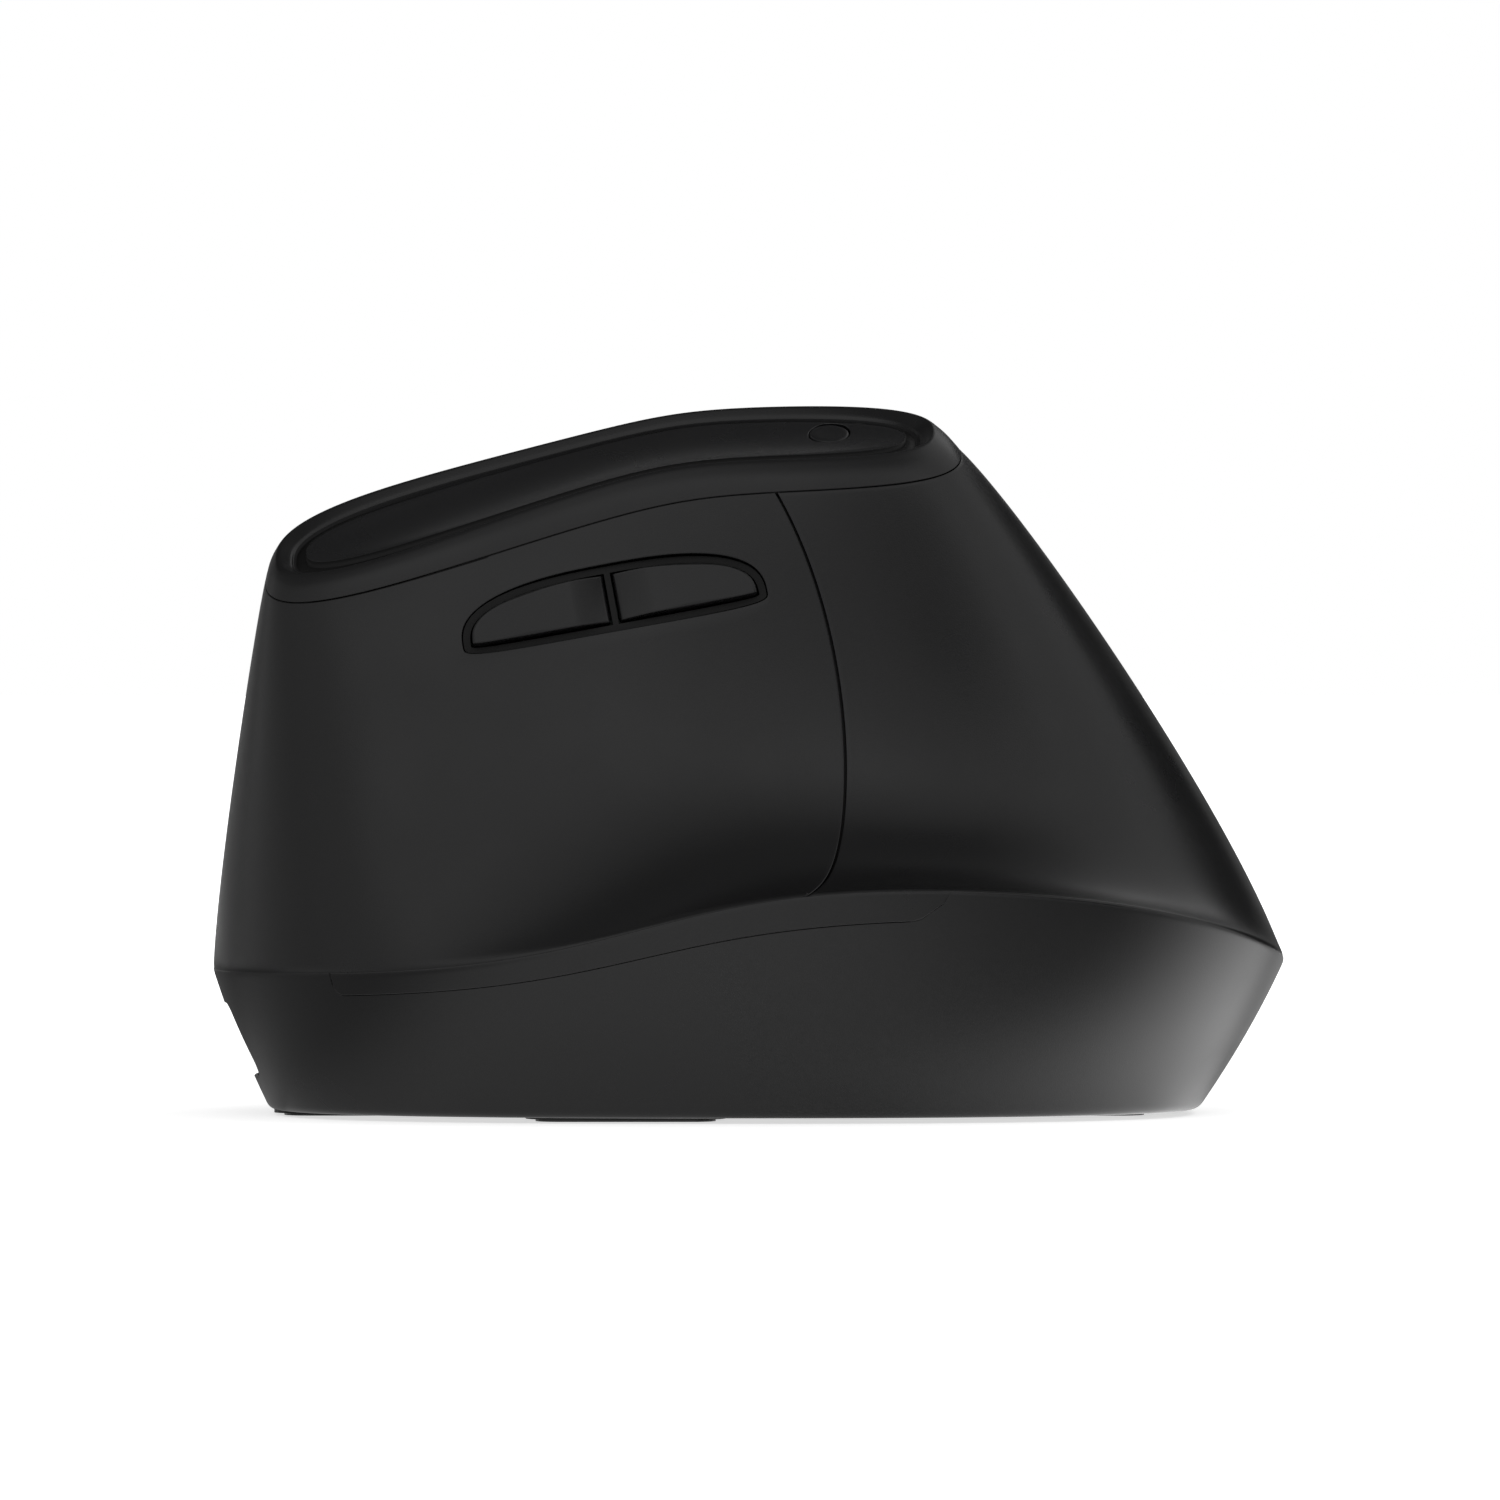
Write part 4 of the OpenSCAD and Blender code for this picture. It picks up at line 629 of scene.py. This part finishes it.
def top_dish():
    """Dish: rings from the hole of the round button out to the dish's oval, on the sagging cap surface."""
    t = np.linspace(0, 360, 361)[:-1]
    outer = crest_xy(t, RIM_W + DISH_GAP)
    angle = np.unwrap(np.arctan2(outer[:, 1] - DPI_AT[1], outer[:, 0] - DPI_AT[0]))
    inner = DPI_AT + (DPI_D / 2 + DPI_GAP) * np.stack([np.cos(angle), np.sin(angle)], axis=-1)
    xy = between(inner, outer, 20)
    sheet = edged_ring(with_z(xy, dish_z(xy)), UNDER_CAP, 0.06, DISH_T)
    return piece("top_dish_insert", sheet, "casing", "dish", ["top_dish"], inside=UNDER_CAP)


def turned(profile, axes, n):
    """A section of radius and height turned about a frame's Z."""
    a = np.linspace(0, 2 * np.pi, n + 1)[:-1]
    radius, height = profile[:, :1], profile[:, 1:]
    return axes.world(np.stack([radius * np.cos(a), radius * np.sin(a), height + 0 * a], axis=-1))


def eased_profile(points, reach):
    """An open section with its inner corners eased by quadratic curves that start a distance before them."""
    points = np.asarray(points, float)
    b = np.linspace(0, 1, 6)[:, None]
    line = [points[:1]]
    for before, here, after, r in zip(points, points[1:], points[2:], reach):
        start = here + unit(before - here) * r
        end = here + unit(after - here) * r
        line.append((1 - b) ** 2 * start + 2 * b * (1 - b) * here + b * b * end)
    return np.concatenate([*line, points[-1:]])


def dpi_button():
    """Round button in the dish: a flat top with an eased rim."""
    r = DPI_D / 2
    profile = eased_profile([(0, -2.6), (r, -2.6), (r, 0.05), (r - 0.5, 0.1), (0, 0.02)], (0.1, 0.25, 0.2))
    return piece("dpi_cap", [(turned(profile, dpi, 96), True)], "dpi_button", "dpi", ["dpi_button"])


def key_top(x, y, direction):
    """Height of a side key in its frame: level, with a ramp that falls to the bar."""
    run = np.clip(1 - (direction * x - SIDE_BAR / 2 - KEY_GAP) / SIDE_RAMP, 0, 1)
    fade = 1 - np.clip(np.abs(y - 1.2) / 9, 0, 1) ** 2
    return SIDE_OUT - SIDE_RAMP_H * run**1.3 * fade


def side_key(name, direction, body):
    """Side key: rings of its outline from a foot up the wall, over an eased edge and in to its middle."""
    a = np.linspace(-np.pi / 2, np.pi / 2, 161)
    curve = window(a, SIDE_RING + KEY_GAP)
    curve = curve[curve[:, 0] > SIDE_BAR / 2 + KEY_GAP]
    x0 = SIDE_BAR / 2 + KEY_GAP
    line = side((x0, curve[-1, 1]), (x0, curve[0, 1]), 60)
    outline = np.concatenate([curve, line])
    outline = outline * [direction, 1]
    middle = np.array(KEY_MIDDLE) * [direction, 1]
    edge = KEY_EDGE
    size = np.linalg.norm(outline - middle, axis=-1, keepdims=True)
    rings = [with_z(mix(middle, outline, share), KEY_FOOT) for share in (0, 1)]
    for arc in np.radians(np.linspace(0, 90, 7)):
        xy = mix(outline, middle, np.minimum(1, edge * (1 - np.cos(arc)) / size))
        rings.append(with_z(xy, key_top(xy[:, 0], xy[:, 1], direction) - edge * (1 - np.sin(arc))))
    for share in np.linspace(1, 0, 26)[1:]:
        xy = mix(middle, mix(outline, middle, np.minimum(1, edge / size)), share)
        rings.append(with_z(xy, key_top(xy[:, 0], xy[:, 1], direction)))
    return piece(name, [(thumb.world(np.stack(rings)), True)], body, "side_keys", [body])


def wheel_tyre():
    """Tyre: a crowned section turned about the axle, with grip grooves that fade towards its shoulders."""
    axle = Axes(finger.world(np.array([0, 0, WHEEL_OUT - WHEEL_D / 2])))
    axle.way = finger.way[:, [2, 0, 1]]
    half, r, r0 = WHEEL_W / 2, WHEEL_D / 2, WHEEL_D / 2 - TYRE_T
    corners = [(r0, -half), (r - 0.7, -half), (r, -half + 0.9), (r, half - 0.9), (r - 0.7, half), (r0, half),
               (r0, -half)]
    profile = eased_profile(corners, (0.3, 0.4, 0.4, 0.3, 0.05))
    even = np.linspace(0, 1, 15)[1:-1, None]
    flat_part = np.argmax(np.abs(np.diff(profile[:, 1])))
    profile = np.concatenate([profile[: flat_part + 1], mix(profile[flat_part], profile[flat_part + 1], even),
                              profile[flat_part + 1:]])
    a = np.linspace(0, 2 * np.pi, TYRE_RIBS * 16 + 1)[:-1]
    across = np.clip((half - 0.7 - np.abs(profile[:, 1:])) / 0.5, 0, 1)
    outer = profile[:, :1] > r - 0.75
    wave = np.clip(np.cos(TYRE_RIBS * a) * 1.6 - 0.35, 0, 1)
    radius = profile[:, :1] - TYRE_GROOVE * across * outer * wave
    grid = axle.world(np.stack([radius * np.cos(a), radius * np.sin(a), profile[:, 1:] + 0 * a], axis=-1))
    return piece("wheel_tyre_ribbed", [(grid, True)], "wheel", "tyre", ["wheel_tyre"])


# Photo: side of the picture, length of the body and the pixel over the body's middle at the table
PHOTO_SIDE, PHOTO_SPAN, PHOTO_FOOT = 1500, 1070, (749, 1113)
VIEW_UP, CAMERA_AWAY = 1.0, 1600
# Glow on the floor beside the heel, in metres: where its shares start and end, its fall and its levels
GLOW_NEAR, GLOW_SLANT, GLOW_BEHIND, GLOW_OUT = (-0.043, -0.009), 0.9, (-0.036, -0.072), (0.2, 0.1)
GLOW_FALL, GLOW_LEVEL = (0.045, 0.085), (5.5, 2.7)


def camera():
    """Camera square to the thumb side, a degree above the table, with a long lens."""
    scale = BODY_L / PHOTO_SPAN
    up = np.radians(VIEW_UP)
    centre = np.array([(PHOTO_SIDE / 2 - PHOTO_FOOT[0]) * scale, 0,
                       (PHOTO_FOOT[1] - PHOTO_SIDE / 2) * scale / np.cos(up)])
    data = bpy.data.cameras.new("camera")
    data.sensor_width = 36
    data.lens = data.sensor_width * CAMERA_AWAY / (PHOTO_SIDE * scale)
    data.clip_end = 20
    made = bpy.data.objects.new("camera", data)
    made.location = Vector(centre + CAMERA_AWAY * np.array([0, -np.cos(up), np.sin(up)])) * MM
    made.rotation_euler = (np.pi / 2 - up, 0, 0)
    bpy.context.scene.collection.objects.link(made)
    bpy.context.scene.camera = made


def node_tree(owner):
    """The owner's node tree, emptied."""
    owner.use_nodes = True
    tree = owner.node_tree
    tree.nodes.clear()
    return tree


def add(tree, kind, **values):
    """A node with its properties and plain inputs set; a socket given as a value is linked."""
    made = tree.nodes.new(kind)
    for key, value in values.items():
        if hasattr(made, key):
            setattr(made, key, value)
            continue
        socket = made.inputs[key.replace("_", " ")]
        if isinstance(value, bpy.types.NodeSocket):
            tree.links.new(value, socket)
        else:
            socket.default_value = value
    return made


def moulded_grain_group():
    """Fine spark-eroded grain of a mould: a height, a roughness and a tone that vary over the surface."""
    group = bpy.data.node_groups.new("moulded grain", "ShaderNodeTree")
    face = group.interface
    for name, value in (("Grain", 6000), ("Roughness", 0.45), ("Spread", 0.06)):
        socket = face.new_socket(name, in_out="INPUT", socket_type="NodeSocketFloat")
        socket.default_value = value
    face.new_socket("Tint", in_out="INPUT", socket_type="NodeSocketColor")
    for name, kind in (("Height", "Float"), ("Roughness", "Float"), ("Color", "Color")):
        face.new_socket(name, in_out="OUTPUT", socket_type="NodeSocket" + kind)
    given = add(group, "NodeGroupInput")
    place = add(group, "ShaderNodeTexCoord").outputs["Object"]
    fine = add(group, "ShaderNodeTexNoise", Vector=place, Scale=given.outputs["Grain"], Detail=2.0)
    broad = add(group, "ShaderNodeTexNoise", Vector=place, Scale=60.0, Detail=3.0)
    low = add(group, "ShaderNodeMath", operation="SUBTRACT")
    group.links.new(given.outputs["Roughness"], low.inputs[0])
    group.links.new(given.outputs["Spread"], low.inputs[1])
    high = add(group, "ShaderNodeMath", operation="ADD")
    group.links.new(given.outputs["Roughness"], high.inputs[0])
    group.links.new(given.outputs["Spread"], high.inputs[1])
    rough = add(group, "ShaderNodeMapRange", Value=broad.outputs["Fac"], From_Min=0.3, From_Max=0.7,
                To_Min=low.outputs[0], To_Max=high.outputs[0])
    bright = add(group, "ShaderNodeMapRange", Value=fine.outputs["Fac"], From_Min=0.25, From_Max=0.75,
                 To_Min=0.9, To_Max=1.1)
    tone = add(group, "ShaderNodeVectorMath", operation="SCALE")
    group.links.new(given.outputs["Tint"], tone.inputs[0])
    group.links.new(bright.outputs[0], tone.inputs["Scale"])
    out = add(group, "NodeGroupOutput")
    group.links.new(fine.outputs["Fac"], out.inputs["Height"])
    group.links.new(rough.outputs[0], out.inputs["Roughness"])
    group.links.new(tone.outputs[0], out.inputs["Color"])
    return group


def moulded(name, tint, rough, grain, depth, specular=0.5, metal=0.0, spread=0.05):
    """Moulded plastic: dark tint, grain in height and roughness, and a plain specular level."""
    made = bpy.data.materials.new(name)
    tree = node_tree(made)
    texture = add(tree, "ShaderNodeGroup", node_tree=GRAIN, Grain=grain, Roughness=rough, Spread=spread,
                  Tint=(*tint, 1))
    bump = add(tree, "ShaderNodeBump", Height=texture.outputs["Height"], Strength=depth, Distance=0.00005)
    shader = add(tree, "ShaderNodeBsdfPrincipled", Base_Color=texture.outputs["Color"],
                 Roughness=texture.outputs["Roughness"], Normal=bump.outputs["Normal"], Metallic=metal)
    shader.inputs["Specular IOR Level"].default_value = specular
    out = add(tree, "ShaderNodeOutputMaterial")
    tree.links.new(shader.outputs[0], out.inputs["Surface"])
    return made


GRAIN = moulded_grain_group()
SATIN = (0.006, 0.006, 0.0063)
FINISHES = {
    "base": moulded("satin base plastic", SATIN, 0.31, 7000, 0.25, 0.3),
    "strip": moulded("satin strip plastic", SATIN, 0.31, 7000, 0.25, 0.28),
    "shell": moulded("soft-touch shell", SATIN, 0.31, 8000, 0.22, 0.2),
    "keys": moulded("soft-touch main button", SATIN, 0.31, 8000, 0.22, 0.2),
    "rim": moulded("satin cap ring", SATIN, 0.31, 8000, 0.2, 0.2),
    "dish": moulded("matt dish", (0.005, 0.005, 0.0055), 0.28, 9000, 0.25, 0.42),
    "dpi": moulded("matt round button", (0.006, 0.006, 0.0065), 0.4, 9000, 0.2, 0.2),
    "side_frame": moulded("dark key frame", (0.004, 0.004, 0.004), 0.5, 9000, 0.1, 0.12),
    "side_keys": moulded("satin side key", SATIN, 0.31, 8000, 0.2, 0.2),
    "tyre": moulded("tyre rubber", (0.018, 0.018, 0.019), 0.65, 5000, 0.4),
    "hub": moulded("gloss hub", (0.012, 0.012, 0.013), 0.2, 4000, 0.05),
    "steel": moulded("turned steel", (0.55, 0.56, 0.57), 0.3, 3000, 0.1, metal=1.0),
    "frame": moulded("inner frame plastic", (0.035, 0.036, 0.04), 0.5, 5000, 0.25),
    "encoder": moulded("encoder plastic", (0.02, 0.08, 0.25), 0.45, 5000, 0.2),
    "board": moulded("solder mask", (0.012, 0.07, 0.04), 0.35, 3000, 0.1),
    "switch": moulded("switch case", (0.02, 0.02, 0.022), 0.45, 5000, 0.2),
    "plunger": moulded("switch plunger", (0.5, 0.08, 0.06), 0.4, 5000, 0.15),
    "chip": moulded("sensor package", (0.01, 0.01, 0.01), 0.55, 6000, 0.3),
    "lens": moulded("lens plastic", (0.35, 0.38, 0.4), 0.12, 2000, 0.02),
    "socket": moulded("socket shell", (0.6, 0.61, 0.62), 0.25, 3000, 0.08, metal=1.0),
    "battery": moulded("foil pouch", (0.5, 0.52, 0.55), 0.35, 900, 0.3, metal=1.0),
    "feet": moulded("slick foot", (0.008, 0.008, 0.008), 0.3, 5000, 0.1),
}


def dress():
    """Each node of the frame and each piece takes the finish of its slot."""
    slots = {entry["node"]: entry["material_slot"] for entry in frame["record"]["subparts"]}
    for name, node in frame["nodes"].items():
        node.data.materials.clear()
        node.data.materials.append(FINISHES[slots[name]])
    for made in PIECES:
        made.data.materials.append(FINISHES[made["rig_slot"]])


def product(tree, a, b):
    """Product of two sockets."""
    made = add(tree, "ShaderNodeMath", operation="MULTIPLY")
    tree.links.new(a, made.inputs[0])
    tree.links.new(b, made.inputs[1])
    return made.outputs[0]


def background_share(tree):
    """1 for rays that show the background, straight or in gloss and glass, 0 for rays that carry light."""
    path = add(tree, "ShaderNodeLightPath")
    either = add(tree, "ShaderNodeMath", operation="MAXIMUM")
    tree.links.new(path.outputs["Is Camera Ray"], either.inputs[0])
    tree.links.new(path.outputs["Is Glossy Ray"], either.inputs[1])
    share = add(tree, "ShaderNodeMath", operation="MAXIMUM")
    tree.links.new(either.outputs[0], share.inputs[0])
    tree.links.new(path.outputs["Is Transmission Ray"], share.inputs[1])
    return share.outputs[0]


def stage_piece(name, corners, faces, material):
    """A plain surface of the studio."""
    mesh = bpy.data.meshes.new(name)
    mesh.from_pydata(corners, [], faces)
    mesh.materials.append(material)
    made = bpy.data.objects.new(name, mesh)
    bpy.context.scene.collection.objects.link(made)
    return made


def studio_floor():
    """Pale floor that shows as white away from the object and keeps its shadow near it. Its glow is weaker
    near the object: painted shade round it, under the real shadow.
    """
    material = bpy.data.materials.new("studio floor")
    tree = node_tree(material)
    plain = add(tree, "ShaderNodeBsdfDiffuse", Color=(0.82, 0.82, 0.82, 1))
    place = add(tree, "ShaderNodeTexCoord").outputs["Object"]
    away = add(tree, "ShaderNodeVectorMath", operation="LENGTH")
    tree.links.new(place, away.inputs[0])
    # Glow weaker near the object: painted shade on the floor round it, also seen in reflections.
    glow_with_painted_shade = add(tree, "ShaderNodeMapRange", Value=away.outputs["Value"], interpolation_type="SMOOTHSTEP",
                   From_Min=0.05, From_Max=0.4, To_Min=0.65, To_Max=1.0)
    shown = product(tree, glow_with_painted_shade.outputs[0], background_share(tree))
    glow = add(tree, "ShaderNodeEmission", Color=(1, 1, 1, 1), Strength=shown)
    both = add(tree, "ShaderNodeAddShader")
    tree.links.new(plain.outputs[0], both.inputs[0])
    tree.links.new(glow.outputs[0], both.inputs[1])
    out = add(tree, "ShaderNodeOutputMaterial")
    tree.links.new(both.outputs[0], out.inputs["Surface"])
    stage_piece("floor", [(-3, -3, 0), (3, -3, 0), (3, 3, 0), (-3, 3, 0)], [(0, 1, 2, 3)], material)


def smooth_share(tree, value, start, end):
    """Share that climbs smoothly from 0 at the start to 1 at the end."""
    made = add(tree, "ShaderNodeMapRange", Value=value, interpolation_type="SMOOTHSTEP",
               From_Min=min(start, end), From_Max=max(start, end),
               To_Min=float(start > end), To_Max=float(start < end))
    return made.outputs[0]


def soft_edge(tree, soft):
    """Share of a level card that shows: 1 in its middle, fading to 0 over a share of its size."""
    place = add(tree, "ShaderNodeSeparateXYZ", Vector=add(tree, "ShaderNodeTexCoord").outputs["Generated"])
    shares = []
    for axis in ("X", "Y"):
        wave = add(tree, "ShaderNodeMath", operation="PINGPONG")
        tree.links.new(place.outputs[axis], wave.inputs[0])
        wave.inputs[1].default_value = 0.5
        shares.append(smooth_share(tree, wave.outputs[0], 0.0, soft))
    return product(tree, *shares)


def heel_wedge(tree):
    """Brightness and share of the glow beside the heel: a wedge that opens away from the foot.

    It fades towards the camera, along a slanted line behind the heel, and far out."""
    place = add(tree, "ShaderNodeSeparateXYZ", Vector=add(tree, "ShaderNodeTexCoord").outputs["Object"])
    x, y = place.outputs["X"], place.outputs["Y"]
    slanted = add(tree, "ShaderNodeMath", operation="MULTIPLY_ADD")
    tree.links.new(x, slanted.inputs[0])
    slanted.inputs[1].default_value = -GLOW_SLANT
    tree.links.new(y, slanted.inputs[2])
    near = smooth_share(tree, y, *GLOW_NEAR)
    behind = smooth_share(tree, slanted.outputs[0], *GLOW_BEHIND)
    share = product(tree, product(tree, near, behind), smooth_share(tree, x, *GLOW_OUT))
    bright = add(tree, "ShaderNodeMapRange", Value=x, From_Min=GLOW_FALL[0], From_Max=GLOW_FALL[1],
                 To_Min=GLOW_LEVEL[0], To_Max=GLOW_LEVEL[1])
    return bright.outputs[0], share


def reflection_card(name, corners, look):
    """A card that only reflections see, with the brightness and share of its look. It gives no light."""
    material = bpy.data.materials.new(name)
    tree = node_tree(material)
    bright, share = look(tree)
    shown = add(tree, "ShaderNodeEmission", Color=(1, 1, 1, 1), Strength=bright)
    if share is not None:
        clear = add(tree, "ShaderNodeBsdfTransparent")
        faded = add(tree, "ShaderNodeMixShader", Fac=share)
        tree.links.new(clear.outputs[0], faded.inputs[1])
        tree.links.new(shown.outputs[0], faded.inputs[2])
        shown = faded
    out = add(tree, "ShaderNodeOutputMaterial")
    tree.links.new(shown.outputs[0], out.inputs["Surface"])
    card = stage_piece(name, corners, [(0, 1, 2, 3)], material)
    card.visible_camera = False
    card.visible_diffuse = False
    card.visible_shadow = False


def grey_card(name, grey, corners, soft=0.0):
    """A reflection card of one level, with soft edges where they are asked for."""
    reflection_card(name, corners, lambda tree: (grey, soft_edge(tree, soft) if soft else None))


def standing(a, b, height):
    """Corners of a card that stands on the floor between two places."""
    return [(*a, 0.005), (*b, 0.005), (*b, height), (*a, height)]


def level(z, x0, y0, x1, y1):
    """Corners of a card that lies level."""
    return [(x0, y0, z), (x1, y0, z), (x1, y1, z), (x0, y1, z)]


def cards():
    """Cards that keep the white room out of the dark plastic, and a bright one on the floor by the heel."""
    grey_card("roof card", 0.3, level(1.1, -1.6, -0.55, 1.6, 0.4))
    grey_card("far roof card", 0.08, level(1.1, -1.6, 0.4, 1.6, 1.8))
    grey_card("nose card", 0.72, standing((-1.6, -0.45), (-1.6, 1.2), 1.1))
    grey_card("far nose card", 0.25, standing((-1.6, 1.2), (-0.3, 1.8), 1.1))
    grey_card("far card", 0.24, standing((-0.3, 1.8), (0.6, 1.8), 1.1))
    grey_card("far heel card", 0.02, standing((0.6, 1.8), (1.6, 0.9), 1.1))
    grey_card("near heel card", 0.02, standing((0.45, -0.95), (1.1, -0.55), 0.6))
    grey_card("far floor card", 0.15, level(0.0002, -0.5, -0.01, 0.06, 1.2))
    grey_card("far heel floor card", 0.6, level(0.0002, 0.04, -0.02, 0.6, 1.2))
    grey_card("nose floor card", 0.4, level(0.0003, -0.15, -0.16, -0.03, 0.033), 0.2)
    grey_card("heel floor card", 0.35, level(0.0003, 0.0, -0.16, 0.2, 0.0), 0.3)
    reflection_card("heel floor glow", level(0.0004, -0.02, -0.05, 0.2, 0.11), heel_wedge)


def studio_world():
    """White background, and a low even light."""
    world = bpy.data.worlds.new("studio")
    bpy.context.scene.world = world
    tree = node_tree(world)
    seen = add(tree, "ShaderNodeBackground", Color=(1, 1, 1, 1), Strength=1.0)
    light = add(tree, "ShaderNodeBackground", Color=(1, 1, 1, 1), Strength=0.5)
    choose = add(tree, "ShaderNodeMixShader")
    tree.links.new(background_share(tree), choose.inputs[0])
    tree.links.new(light.outputs[0], choose.inputs[1])
    tree.links.new(seen.outputs[0], choose.inputs[2])
    out = add(tree, "ShaderNodeOutputWorld")
    tree.links.new(choose.outputs[0], out.inputs["Surface"])


def softbox(name, at, aim, size, brightness):
    """A rectangular lamp that faces a point, as bright per area as a white card that shows at that level."""
    data = bpy.data.lights.new(name, "AREA")
    data.shape = "RECTANGLE"
    data.size, data.size_y = size
    data.energy = brightness * np.pi * size[0] * size[1]
    made = bpy.data.objects.new(name, data)
    made.location = at
    made.rotation_euler = (Vector(aim) - Vector(at)).to_track_quat("-Z", "Y").to_euler()
    bpy.context.scene.collection.objects.link(made)


def lights():
    """Wide front light behind the camera, a narrow one to its right, and a strip high beyond the heel."""
    middle = (0, 0, 0.035)
    softbox("front light", (-0.7, -2.1, 1.5), middle, (2.6, 1.3), 0.85)
    softbox("front right light", (0.95, -1.87, 1.62), middle, (1.7, 0.55), 0.9)
    softbox("heel strip", (0.66, 0.19, 0.8), middle, (1.9, 0.56), 1.0)


PIECES = [
    thumb_panel(), palm_shell(), groove_lip(), finger_panel(),
    main_button("left_button_skin", BUTTON_MID, BUTTON_TOP, True, "left_button", "left_button"),
    main_button("right_button_skin", BUTTON_LOW, BUTTON_MID, False, "right_button", "right_button"),
    base_wall(), ledge_strip(), top_rim(), dish_shade_liner(), top_dish(), dpi_button(),
    side_key("forward_key", -1, "forward_button"), side_key("back_key", 1, "back_button"), wheel_tyre(),
]
dress()
camera()
studio_floor()
cards()
studio_world()
lights()
bpy.context.scene.view_settings.view_transform = "Standard"
